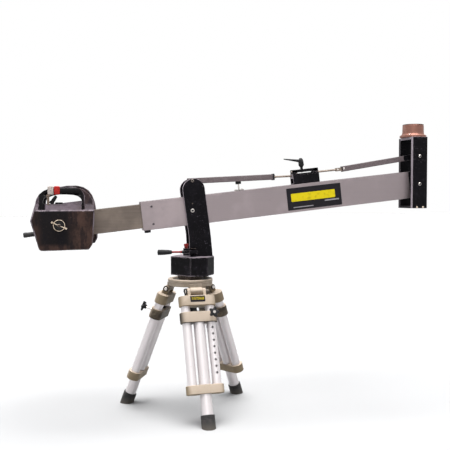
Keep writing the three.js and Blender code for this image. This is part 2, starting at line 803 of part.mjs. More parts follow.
// The black boss in the front of the tube, bored for the head's axle.
function endBoss() {
  const innerWidth = boomWidth / 2 - boomWall - fitGap;
  const innerHeight = boomHeight / 2 - boomWall - fitGap;
  const start = boomFront - endBossInsertion;
  const flange = boomFront + fitGap;
  const shoulder = flange + endBossShoulder;
  const plug = block(start, shoulder, -innerWidth, innerWidth, -innerHeight, innerHeight);
  const shape = new THREE.Shape();
  shape.moveTo(flange, -boomHeight / 2);
  shape.lineTo(shoulder, -boomHeight / 2);
  shape.lineTo(headPivotReach, -endBossNose);
  shape.absarc(headPivotReach, 0, endBossNose, -Math.PI / 2, Math.PI / 2);
  shape.lineTo(shoulder, boomHeight / 2);
  shape.lineTo(flange, boomHeight / 2);
  const nose = sideways(shape, -boomWidth / 2, boomWidth / 2);
  const axleBore = boreRadius(headAxleRadius, fitGap, knobSides);
  const axleHole = rodY(axleBore, -boomWidth, boomWidth, knobSides);
  return cut(join(plug, nose), axleHole.translate(headPivotReach, 0, 0));
}

// The bracket on the boom whose cheeks the link lock slides between.
const lockShift = linkRise * Math.sin(boomElevation);
function lockBracket() {
  const outer = bracketOuterWidth / 2;
  const inner = outer - bracketCheek;
  const seat = boomHeight / 2 + fitGap;
  const top = boomHeight / 2 + bracketHeight;
  const profile = shapeOf([
    [-outer, seat],
    [outer, seat],
    [outer, top],
    [inner, top],
    [inner, seat + bracketBase],
    [-inner, seat + bracketBase],
    [-inner, top],
    [-outer, top],
  ]);
  return lengthwise(profile, lockStart + lockShift, lockStart + lockShift + lockLength);
}

function restPost() {
  const seat = boomHeight / 2 + fitGap;
  const capBottom = boomHeight / 2 + postHeight - postCapHeight;
  const baseX = postBaseLength / 2;
  const baseY = postBaseWidth / 2;
  const base = block(-baseX, baseX, -baseY, baseY, seat, seat + postBaseHeight);
  const stem = rodZ(postStemRadius, seat + postBaseHeight / 2, capBottom + postCapHeight / 2, pinSides);
  const halfLength = postCapLength / 2;
  const halfWidth = postCapWidth / 2;
  const cap = block(-halfLength, halfLength, -halfWidth, halfWidth, capBottom, capBottom + postCapHeight);
  return join(base, stem, cap).translate(postPlace, postSideStep, 0);
}

function clampKnob() {
  const top = -boomHeight / 2 - fitGap;
  const disc = rodZ(clampKnobRadius, top - clampKnobHeight, top, knobSides);
  const screw = rodZ(clampScrewRadius, top - clampKnobHeight / 2, -barHeight / 2 - fitGap, pinSides);
  return join(disc, screw).translate(clampKnobX, 0, 0);
}

addPiece(boomFrame, 'boom_tube', boomTube(), boomAluminium);
addPiece(boomFrame, 'boom_end_boss', endBoss(), wornBlack);
addPiece(boomFrame, 'lock_bracket', lockBracket(), wornBlack);
addPiece(boomFrame, 'rest_post', restPost(), blackPlastic);
addPiece(boomFrame, 'tail_clamp_knob', clampKnob(), blackPlastic);

// Sliding tail bar and what it carries.
const barWidth = boomWidth - 2 * boomWall - 2 * fitGap;
const barSide = barWidth / 2;
const weightBoltPlace = barReach - weightBoltInset;

function tailBar() {
  const tube = squareTube(barWidth, barHeight, barWall, barCorner, -barReach, barEngagement - boomTail);
  const halfHeight = barHeight / 2 - barWall / 2;
  const halfWidth = barSide - barWall / 2;
  const endPlate = block(-barReach, barEndPlate - barReach, -halfWidth, halfWidth, -halfHeight, halfHeight);
  const boltBore = boreRadius(crossBoltRadius, fitGap, pinSides);
  const boltHole = rodY(boltBore, -barWidth, barWidth, pinSides);
  const studEnd = barEndPlate - barReach + cutOverrun;
  const studBore = boreRadius(gripStudRadius, fitGap, pinSides);
  const studHole = rodX(studBore, -barReach - cutOverrun, studEnd, pinSides);
  return cut(
    join(tube, endPlate),
    boltHole.translate(-weightBoltPlace, 0, weightBoltRise),
    studHole.translate(0, 0, -gripDrop),
  );
}

function tailGrip() {
  const start = -barReach - fitGap;
  const grip = rodX(gripRadius, start - gripLength, start, tubeSides);
  const stud = rodX(gripStudRadius, start - gripRadius, barEndPlate - barReach, pinSides);
  return join(grip, stud).translate(0, 0, -gripDrop);
}

// A moulded canister about its bolt: a tapering body, shoulders that slope in, and an arched handle.
const weightBodyShares = [[-0.69, -1], [0.83, -0.97], [0.93, -0.78], [0.96, -0.5], [1, 0.24]];
const weightOpeningShares = [
  [1, 0], [0.99, 0.34], [0.92, 0.62], [0.78, 0.83], [0.56, 0.95], [0.2, 1],
  [-0.2, 1], [-0.56, 0.95], [-0.78, 0.83], [-0.92, 0.62], [-0.99, 0.34], [-1, 0],
];
const weightArchShares = [[1.02, 0.73], [0.86, 1], [0.23, 1], [-0.44, 1], [-0.8, 0.86], [-0.84, 0.5], [-1, 0.12]];

function weightPoint([shareX, shareZ], shift) {
  const x = shareX * (shareX < 0 ? weightLeft : weightRight);
  const z = shareZ * (shareZ < 0 ? weightBelow : weightAbove);
  return [x + shift, z];
}

function balanceWeight(side, shift) {
  const shape = new THREE.Shape();
  const body = weightBodyShares.map((share) => weightPoint(share, shift));
  const arch = weightArchShares.map((share) => weightPoint(share, shift));
  shape.moveTo(...body[0]);
  body.slice(1).forEach((point) => shape.lineTo(...point));
  shape.bezierCurveTo(...arch[0], ...arch[1], ...arch[2]);
  shape.bezierCurveTo(...arch[3], ...arch[4], ...arch[5]);
  shape.lineTo(...arch[6]);
  const openingHalf = (weightOpeningLeft + weightOpeningRight) / 2;
  const openingCentre = openingHalf - weightOpeningLeft + shift;
  const openingRise = weightOpeningTop - weightOpeningBottom;
  const opening = weightOpeningShares.map(([shareX, shareZ]) => new THREE.Vector2(
    openingCentre + shareX * openingHalf,
    weightOpeningBottom + shareZ * openingRise,
  ));
  shape.holes.push(new THREE.Path(opening));
  const half = weightThickness / 2;
  const handleHalf = weightHandleThickness / 2;
  const over = cutOverrun;
  const section = shapeOf([
    [-half, -weightBelow - over],
    [half, -weightBelow - over],
    [half, weightRidge],
    [handleHalf, weightOpeningBottom],
    [handleHalf, weightAbove + over],
    [-handleHalf, weightAbove + over],
    [-handleHalf, weightOpeningBottom],
    [-half, weightRidge],
  ]);
  const reach = weightLeft + weightRight;
  const blank = sideways(shape, -half - over, half + over);
  const moulded = common(blank, lengthwise(section, -reach, reach));
  const boltBore = boreRadius(crossBoltRadius, fitGap, pinSides);
  const boltHole = rodY(boltBore, -weightThickness, weightThickness, pinSides);
  return cut(moulded, boltHole).translate(0, side * (barSide + fitGap + half), 0);
}

const weightFace = barSide + fitGap + weightThickness;
const wingSeat = weightFace + fitGap;

// The bolt through both canisters and the bar, with its head behind the far one.
function crossBolt() {
  const seat = weightFace + fitGap;
  const head = rodY(crossBoltHeadRadius, seat, seat + crossBoltHeadHeight, pinSides / 2);
  const tip = wingSeat + wingHubHeight + crossBoltTip;
  return join(head, rodY(crossBoltRadius, -tip, seat + crossBoltHeadHeight / 2, pinSides));
}

function wingNut() {
  const ring = pipeZ(wingRingRadius, wingRingWall, 0, wingRingHeight, fineSides);
  const hub = rodZ(wingHubRadius, 0, wingHubHeight, knobSides);
  const half = wingBarWidth / 2;
  const bar = block(-wingReach, wingReach, -half, half, wingRingWall, wingRingHeight);
  const ears = [-1, 1].map((side) => {
    const x0 = Math.min(side * wingEarStart, side * wingReach);
    const x1 = Math.max(side * wingEarStart, side * wingReach);
    return block(x0, x1, -half, half, wingRingWall, wingEarHeight);
  });
  const boltBore = boreRadius(crossBoltRadius, fitGap, pinSides);
  const bore = rodZ(boltBore, -cutOverrun, wingHubHeight + cutOverrun, pinSides);
  const nut = cut(join(ring, hub, bar, ...ears), bore);
  return nut.rotateZ(wingTurn).rotateX(Math.PI / 2).translate(0, -wingSeat, 0);
}

addPiece(boomFrame, 'tail_bar', tailBar(), barAluminium);
addPiece(boomFrame, 'tail_grip', tailGrip(), blackRubber);
const boltFrame = addGroup(boomFrame, -weightBoltPlace, 0, weightBoltRise);
boltFrame.rotation.y = boomElevation;
addPiece(boltFrame, 'balance_weight_near', balanceWeight(-1, 0), dustyPlastic);
const farWeight = addPiece(boltFrame, 'balance_weight_far', balanceWeight(1, farWeightShift), dustyPlastic);
farWeight.rotation.y = -farWeightTurn;
addPiece(boltFrame, 'weight_cross_bolt', crossBolt(), platedSteel);
addPiece(boltFrame, 'weight_wing_nut', wingNut(), platedSteel);

// Upper link. Its frame starts at the mast's link pin and stays parallel to the boom.
const rearAngle = Math.atan2(rearRodDrop, lockStart);
const frontRun = headPivotReach - frontTubeStart;
const frontAngle = Math.atan2(frontRodDrop, frontRun);
const frontTubeLength = Math.hypot(frontRun, frontRodDrop);
const rearRodEnd = lockStart / Math.cos(rearAngle) + linkRodSeat;
const plugSize = linkTubeSize - 2 * linkTubeWall - 2 * fitGap;

function linkTube(start, end, eye) {
  const tube = squareTube(linkTubeSize, linkTubeSize, linkTubeWall, linkTubeCorner, start, end);
  const hole = rodY(boreRadius(linkPinRadius, fitGap, knobSides), -linkTubeSize, linkTubeSize, knobSides);
  return cut(tube, hole.translate(eye, 0, 0));
}

function centredBlock(x0, x1, size) {
  return block(x0, x1, -size / 2, size / 2, -size / 2, size / 2);
}

function rearRod() {
  const collarStart = rearTubeLength + fitGap;
  const collarEnd = collarStart + linkCollarLength;
  const plug = centredBlock(collarStart - linkPlugLength, collarEnd, plugSize);
  const collar = centredBlock(collarStart, collarEnd, linkCollarSize);
  return join(plug, collar, rodX(linkRodRadius, rearTubeLength, rearRodEnd - fitGap, pinSides));
}

// The lock: a lower bar guided by the bracket, an upper plate for the lever, and a window between.
function lockYoke() {
  const end = lockStart + lockLength;
  const top = -yokeTopDrop;
  const bottom = top - yokeHeight;
  const guideHalf = bracketOuterWidth / 2 - bracketCheek - fitGap;
  const upperHalf = yokeUpperWidth / 2;
  const lowerTop = bottom + yokeLowerBar;
  const lower = block(lockStart, end, -guideHalf, guideHalf, bottom, lowerTop);
  const upper = block(lockStart, end, -upperHalf, upperHalf, bottom + yokeLowerBar / 2, top);
  const windowStart = lockStart + yokeEndBlock;
  const windowEnd = end - yokeEndBlock;
  const reach = bracketOuterWidth;
  const window = block(windowStart, windowEnd, -reach, reach, lowerTop, top - yokeUpperPlate);
  const rodBore = boreRadius(linkRodRadius, fitGap, pinSides);
  const rearBore = rodX(rodBore, rearRodEnd - 2 * linkRodSeat, rearRodEnd, pinSides);
  rearBore.rotateY(rearAngle);
  const frontBore = rodX(rodBore, end - linkRodSeat, end + linkRodSeat, pinSides);
  frontBore.translate(0, 0, -frontRodDrop);
  const screwBore = boreRadius(leverScrewRadius, fitGap, knobSides);
  const screwHole = rodZ(screwBore, top - yokeUpperPlate - cutOverrun, cutOverrun, knobSides);
  screwHole.translate(lockStart + leverPlace, 0, 0);
  return cut(join(lower, upper), window, rearBore, frontBore, screwHole);
}

function frontRod() {
  const start = lockStart + lockLength - linkRodSeat + fitGap;
  const endStart = frontTubeStart - rodEndLength;
  const rod = rodX(linkRodRadius, start, endStart + rodEndLength / 2, pinSides);
  const endBlock = centredBlock(endStart, frontTubeStart - fitGap, rodEndSize);
  const plug = centredBlock(-rodEndLength / 2, linkPlugLength, rodEndSize);
  plug.rotateY(-frontAngle).translate(frontTubeStart, 0, 0);
  return join(rod, endBlock, plug).translate(0, 0, -frontRodDrop);
}

function lockLever() {
  const hub = turned([
    [0, -leverScrewLength],
    [leverScrewRadius, -leverScrewLength],
    [leverScrewRadius, fitGap],
    [leverNeckRadius, fitGap],
    [leverNeckRadius, leverNeckHeight],
    [leverHubRadius, 2 * leverNeckHeight],
    [leverHubRadius * leverHubCapShare, leverHubHeight - leverNeckHeight],
    [leverHubRadius * leverHubTopShare, leverHubHeight],
    [0, leverHubHeight],
  ], knobSides);
  const arm = rodX(leverArmTipRadius, -leverArmLength, 0, pinSides, leverArmRootRadius);
  arm.rotateY(leverArmRise).translate(0, 0, leverHubHeight - leverNeckHeight - leverNeckRadius);
  return join(hub, arm).translate(lockStart + leverPlace, 0, -yokeTopDrop);
}

const rearLink = addGroup(linkFrame, 0, 0, 0);
rearLink.rotation.y = rearAngle;
addPiece(rearLink, 'link_rear_tube', linkTube(-linkTubeTail, rearTubeLength, 0), linkPaint);
addPiece(rearLink, 'link_rear_rod', rearRod(), brightSteel);
addPiece(linkFrame, 'link_lock_yoke', lockYoke(), wornBlack);
addPiece(linkFrame, 'link_lock_lever', lockLever(), blackPlastic);
addPiece(linkFrame, 'link_front_rod', frontRod(), brightSteel);
const frontLink = addGroup(linkFrame, frontTubeStart, 0, -frontRodDrop);
frontLink.rotation.y = -frontAngle;
const frontTube = linkTube(0, frontTubeLength + linkTubeTail, frontTubeLength);
addPiece(frontLink, 'link_front_tube', frontTube, linkPaint);

// Camera head, which the link keeps upright.
const headInner = headOuterHalfWidth - headPlateThickness;

function headPlate(y0) {
  const shape = shapeOf([
    [-headPlateBack, -headBelowPivot],
    [headPlateFront, -headBelowPivot],
    [headPlateFront, headAbovePivot],
    [-headPlateBack, headAbovePivot],
  ]);
  shape.holes.push(roundHole(0, 0, headAxleRadius));
  shape.holes.push(roundHole(0, linkRise, linkPinRadius));
  return sideways(shape, y0, y0 + headPlateThickness);
}

function crossPlate(z0) {
  const half = headInner - fitGap;
  return block(-headPlateBack, headPlateFront, -half, half, z0, z0 + headCrossPlate);
}

// The bowl seat that the camera's levelling ball sits in.
function cameraBowl() {
  const top = bowlFlangeHeight + bowlBodyHeight;
  const inside = [];
  for (let step = 0; step <= bowlSteps; step += 1) {
    const radius = bowlInnerRadius + ((bowlThroatRadius - bowlInnerRadius) * step) / bowlSteps;
    inside.push([radius, top - Math.sqrt(Math.max(0, bowlInnerRadius ** 2 - radius ** 2))]);
  }
  const profile = [
    [bowlThroatRadius, 0],
    [bowlFlangeRadius, 0],
    [bowlFlangeRadius, bowlFlangeHeight],
    [bowlBodyRadius, bowlFlangeHeight],
    [bowlBodyRadius, top],
    ...inside,
    [bowlThroatRadius, 0],
  ];
  const middle = (headPlateFront - headPlateBack) / 2;
  return turned(profile, fineSides).translate(middle, 0, headAbovePivot + fitGap);
}

function headAxle() {
  const headSize = [headAxleHeadRadius, headAxleHeadHeight];
  const outer = headOuterHalfWidth;
  return spacedPin(headAxleRadius, headAxleCollarRadius, boomWidth / 2, headInner, outer, ...headSize);
}

function headLinkPin() {
  const headSize = [linkPinHeadRadius, linkPinHeadHeight];
  const outer = headOuterHalfWidth;
  return spacedPin(linkPinRadius, headLinkCollarRadius, linkTubeSize / 2, headInner, outer, ...headSize);
}

addPiece(headFrame, 'head_plate_near', headPlate(-headOuterHalfWidth), wornBlack);
addPiece(headFrame, 'head_plate_far', headPlate(headInner), wornBlack);
addPiece(headFrame, 'head_top_plate', crossPlate(headAbovePivot - headCrossPlate), wornBlack);
addPiece(headFrame, 'head_bottom_plate', crossPlate(-headBelowPivot), wornBlack);
addPiece(headFrame, 'camera_bowl', cameraBowl(), copperBrown);
addPiece(headFrame, 'head_axle', headAxle(), brightSteel);
addPiece(addGroup(headFrame, 0, 0, linkRise), 'link_pin_head', headLinkPin(), brightSteel);

// The origin stands on the floor under the middle of the whole crane's box.
crane.updateMatrixWorld(true);
const bounds = new THREE.Box3().setFromObject(crane, true);
const middle = bounds.getCenter(new THREE.Vector3());
crane.position.set(-middle.x, -middle.y, -bounds.min.z);

export default crane;
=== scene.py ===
import json
import math

import bmesh
import bpy
from mathutils import Matrix, Vector


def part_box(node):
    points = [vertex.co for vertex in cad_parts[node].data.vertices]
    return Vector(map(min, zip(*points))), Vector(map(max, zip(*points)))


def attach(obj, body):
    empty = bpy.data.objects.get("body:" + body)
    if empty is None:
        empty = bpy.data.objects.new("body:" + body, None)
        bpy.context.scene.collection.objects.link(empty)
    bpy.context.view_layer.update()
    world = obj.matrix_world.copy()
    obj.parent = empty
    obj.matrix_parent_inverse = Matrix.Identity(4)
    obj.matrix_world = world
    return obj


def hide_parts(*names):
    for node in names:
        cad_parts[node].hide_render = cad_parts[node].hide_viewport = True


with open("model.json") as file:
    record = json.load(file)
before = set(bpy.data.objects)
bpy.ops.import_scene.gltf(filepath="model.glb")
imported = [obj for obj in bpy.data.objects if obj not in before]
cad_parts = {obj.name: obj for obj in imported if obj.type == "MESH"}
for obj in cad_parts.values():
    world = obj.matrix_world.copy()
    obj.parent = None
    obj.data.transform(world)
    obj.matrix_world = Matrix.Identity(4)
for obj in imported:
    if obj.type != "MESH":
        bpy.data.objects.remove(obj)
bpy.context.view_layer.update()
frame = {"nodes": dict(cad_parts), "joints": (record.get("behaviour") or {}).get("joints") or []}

# The camera stands where the photograph was taken from: 2.9 m in front of the crane, a little above the
# boom's pivot and left of the mast, with the view of a 55 mm lens.
joint_at = {joint["name"]: Vector(joint["pos_m"]) for joint in frame["joints"] if "pos_m" in joint}
pivot = joint_at["boom_tilt"]
eye = pivot + Vector((-0.5036, -2.8966, 0.0573))
yaw, pitch, roll = math.radians(12.68), math.radians(-2.33), math.radians(-0.12)
camera = bpy.data.objects.new("camera", bpy.data.cameras.new("camera"))
camera.data.sensor_width = 36.0
camera.data.lens = 55.47
camera.data.clip_end = 60.0
camera.matrix_world = (Matrix.Translation(eye) @ Matrix.Rotation(-yaw, 4, "Z")
                       @ Matrix.Rotation(math.pi / 2 + pitch, 4, "X") @ Matrix.Rotation(roll, 4, "Z"))
bpy.context.scene.collection.objects.link(camera)
bpy.context.scene.camera = camera

# A pale studio lit from overhead: bright above, behind and to the left, and dimmer on the camera's side, so
# that black paint stays black and edges that face up or left catch a light line. The camera sees a plain
# white room, and so do metal and glass.
bpy.context.scene.view_settings.view_transform = "Standard"
world = bpy.data.worlds.new("studio")
bpy.context.scene.world = world
world.use_nodes = True
sky = world.node_tree
room = sky.nodes["Background"]
room.inputs["Color"].default_value = (0.96, 0.97, 1.0, 1)
direction = sky.nodes.new("ShaderNodeTexCoord")
toward = sky.nodes.new("ShaderNodeVectorMath")
toward.operation = "DOT_PRODUCT"
toward.inputs[1].default_value = (-0.62, 0.42, 0.66)
fade = sky.nodes.new("ShaderNodeMapRange")
for key, value in (("From Min", -0.35), ("From Max", 0.85), ("To Min", 0.06), ("To Max", 0.95)):
    fade.inputs[key].default_value = value
sky.links.new(direction.outputs["Generated"], toward.inputs[0])
sky.links.new(toward.outputs["Value"], fade.inputs["Value"])
sky.links.new(fade.outputs["Result"], room.inputs["Strength"])
white_room = sky.nodes.new("ShaderNodeBackground")
white_room.inputs["Color"].default_value = (1, 1, 1, 1)
white_room.inputs["Strength"].default_value = 1.0
rays = sky.nodes.new("ShaderNodeLightPath")
seeing = rays.outputs["Is Camera Ray"]
for kind in ("Is Glossy Ray", "Is Transmission Ray"):
    also = sky.nodes.new("ShaderNodeMath")
    also.operation = "MAXIMUM"
    sky.links.new(seeing, also.inputs[0])
    sky.links.new(rays.outputs[kind], also.inputs[1])
    seeing = also.outputs[0]
pick = sky.nodes.new("ShaderNodeMixShader")
sky.links.new(seeing, pick.inputs[0])
sky.links.new(room.outputs[0], pick.inputs[1])
sky.links.new(white_room.outputs[0], pick.inputs[2])
sky.links.new(pick.outputs[0], sky.nodes["World Output"].inputs["Surface"])

# A wide soft light fills the side that the camera sees, and a broad sun shines from overhead.
fill = bpy.data.lights.new("front_fill", "AREA")
fill.shape = "RECTANGLE"
fill.size, fill.size_y = 3.0, 1.6
fill.energy = 20
fill.color = (1.0, 0.97, 0.96)
fill_stand = bpy.data.objects.new("front_fill", fill)
fill_stand.location = (-1.2, -4.6, 1.9)
fill_aim = Vector((0, 0, 0.8)) - fill_stand.location
fill_stand.rotation_euler = fill_aim.to_track_quat("-Z", "Y").to_euler()
bpy.context.scene.collection.objects.link(fill_stand)

above = bpy.data.lights.new("overhead", "SUN")
above.energy = 8.4
above.angle = math.radians(50)
above.color = (1.0, 0.985, 0.97)
above_stand = bpy.data.objects.new("overhead", above)
above_stand.rotation_euler = (math.radians(2), 0, 0)
bpy.context.scene.collection.objects.link(above_stand)

# The studio floor: one plain pale sheet that the three feet stand on. It runs out to white on all sides and
# keeps the crane's soft shadow.
floor_reach = 30.0
floor_corners = [(x * floor_reach, y * floor_reach, 0) for x, y in ((-1, -1), (1, -1), (1, 1), (-1, 1))]
floor_mesh = bpy.data.meshes.new("floor")
floor_mesh.from_pydata(floor_corners, [], [(0, 1, 2, 3)])
floor = bpy.data.objects.new("floor", floor_mesh)
bpy.context.scene.collection.objects.link(floor)
floor_paint = bpy.data.materials.new("floor_paint")
floor_paint.use_nodes = True
floor_shader = floor_paint.node_tree.nodes["Principled BSDF"]
floor_shader.inputs["Base Color"].default_value = (0.3, 0.304, 0.31, 1)
floor_shader.inputs["Roughness"].default_value = 0.9
floor.data.materials.append(floor_paint)

# Crown ring of the tripod: a sand-cast aluminium ring in beige enamel, machined round its bowl, with a
# knuckle for each leg underneath. A steel pin with a nut at each end goes through each knuckle.
millimetres = Matrix.Scale(0.001, 4)
azimuths = {"front": math.radians(-86), "right": math.radians(34), "left": math.radians(154)}
splay = math.radians(21)
crown_top = 0.553
crown_place = Matrix.Translation((joint_at["pan"].x, joint_at["pan"].y, crown_top)) @ millimetres


def eased(points, ease, closed=True, steps=2):
    """Rounds the corners of an outline with short arcs."""
    out = []
    count = len(points)
    for i, (x, y) in enumerate(points):
        if not closed and i in (0, count - 1):
            out.append((x, y))
            continue
        corner = Vector((x, y))
        back = Vector(points[i - 1]) - corner
        onward = Vector(points[(i + 1) % count]) - corner
        cut = min(ease, back.length * 0.45, onward.length * 0.45)
        start = corner + back.normalized() * cut
        end = corner + onward.normalized() * cut
        for k in range(steps + 1):
            t = k / steps
            point = start * (1 - t) ** 2 + corner * 2 * t * (1 - t) + end * t * t
            out.append((point.x, point.y))
    return out


def facing(mesh, direction):
    """Turns a mesh that was made along Z so that it lies along X or Y."""
    if direction == "X":
        mesh.transform(Matrix(((0, 0, 1, 0), (1, 0, 0, 0), (0, 1, 0, 0), (0, 0, 0, 1))))
    elif direction == "Y":
        mesh.transform(Matrix.Rotation(math.pi / 2, 4, "X"))
    return mesh


def ring_of(radius, sides=48, x=0.0, y=0.0):
    """A round outline, or one with few sides, such as a nut's."""
    turn = 2 * math.pi / sides
    return [(x + radius * math.cos(k * turn), y + radius * math.sin(k * turn)) for k in range(sides)]


def turned(profile, sides=64, ease=0.0, direction="Z"):
    """A turned shape from radius and height pairs. Along Y, heights run from front to back."""
    points = eased(profile, ease, closed=False) if ease else list(profile)
    shape = bmesh.new()
    rings = []
    for radius, height in points:
        if direction == "Y":
            height = -height
        if radius < 1e-5:
            rings.append([shape.verts.new((0, 0, height))] * sides)
        else:
            rings.append([shape.verts.new((x, y, height)) for x, y in ring_of(radius, sides)])
    for low, high in zip(rings, rings[1:]):
        for k in range(sides):
            n = (k + 1) % sides
            corners = []
            for corner in (low[k], low[n], high[n], high[k]):
                if corner not in corners:
                    corners.append(corner)
            if len(corners) > 2:
                shape.faces.new(corners)
    bmesh.ops.recalc_face_normals(shape, faces=shape.faces)
    mesh = bpy.data.meshes.new("turned")
    shape.to_mesh(mesh)
    shape.free()
    return facing(mesh, direction)


def rod(radius, low, high, sides=24, ease=0.0, direction="Z"):
    """A plain round rod."""
    return turned([(0, low), (radius, low), (radius, high), (0, high)], sides, ease, direction)


def slab(outline, low, high, holes=(), ease=1.0, direction="Z"):
    """A plate from an outline with holes, given thickness and eased edges. Along Y, the outline is X and Z,
    and along X it is Y and Z."""
    if direction == "Y":
        low, high = -high, -low
    curve = bpy.data.curves.new("outline", "CURVE")
    curve.dimensions = "2D"
    curve.fill_mode = "BOTH"
    for points in (outline, *holes):
        spline = curve.splines.new("POLY")
        spline.points.add(len(points) - 1)
        for point, (x, y) in zip(spline.points, points):
            point.co = (x, y, 0, 1)
        spline.use_cyclic_u = True
    curve.extrude = (high - low) / 2 - ease
    curve.bevel_depth = ease
    curve.bevel_resolution = 1
    curve.offset = -ease
    holder = bpy.data.objects.new("outline", curve)
    bpy.context.scene.collection.objects.link(holder)
    graph = bpy.context.evaluated_depsgraph_get()
    mesh = bpy.data.meshes.new_from_object(holder.evaluated_get(graph))
    bpy.data.objects.remove(holder)
    bpy.data.curves.remove(curve)
    shape = bmesh.new()
    shape.from_mesh(mesh)
    bmesh.ops.remove_doubles(shape, verts=shape.verts, dist=0.01)
    bmesh.ops.translate(shape, verts=shape.verts, vec=(0, 0, (low + high) / 2))
    bmesh.ops.recalc_face_normals(shape, faces=shape.faces)
    shape.to_mesh(mesh)
    shape.free()
    return facing(mesh, direction)


def moved(mesh, x=0.0, y=0.0, z=0.0, turn=None):
    """Moves a mesh, and turns it first where an angle and an axis are given."""
    if turn:
        mesh.transform(Matrix.Rotation(turn[0], 4, turn[1]))
    mesh.transform(Matrix.Translation((x, y, z)))
    return mesh


def together(*meshes):
    """One mesh of several loose ones."""
    whole = bmesh.new()
    for mesh in meshes:
        whole.from_mesh(mesh)
    mesh = bpy.data.meshes.new("together")
    whole.to_mesh(mesh)
    whole.free()
    return mesh


def piece(name, body, mesh, place, material, nodes=(), crease=35):
    """Puts a finished mesh in its place in the crane and ties it to its body."""
    mesh.name = name
    mesh.transform(place)
    mesh.materials.clear()
    mesh.materials.append(material)
    for face in mesh.polygons:
        face.use_smooth = True
    mesh.set_sharp_from_angle(angle=math.radians(crease))
    rough = bpy.data.objects.new("rough", mesh)
    bpy.context.scene.collection.objects.link(rough)
    even = rough.modifiers.new("even", "WEIGHTED_NORMAL")
    even.keep_sharp = True
    graph = bpy.context.evaluated_depsgraph_get()
    mesh = bpy.data.meshes.new_from_object(rough.evaluated_get(graph))
    bpy.data.objects.remove(rough)
    mesh.name = name
    shown = bpy.data.objects.new(name, mesh)
    bpy.context.scene.collection.objects.link(shown)
    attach(shown, body)
    if nodes:
        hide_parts(*nodes)
    return shown


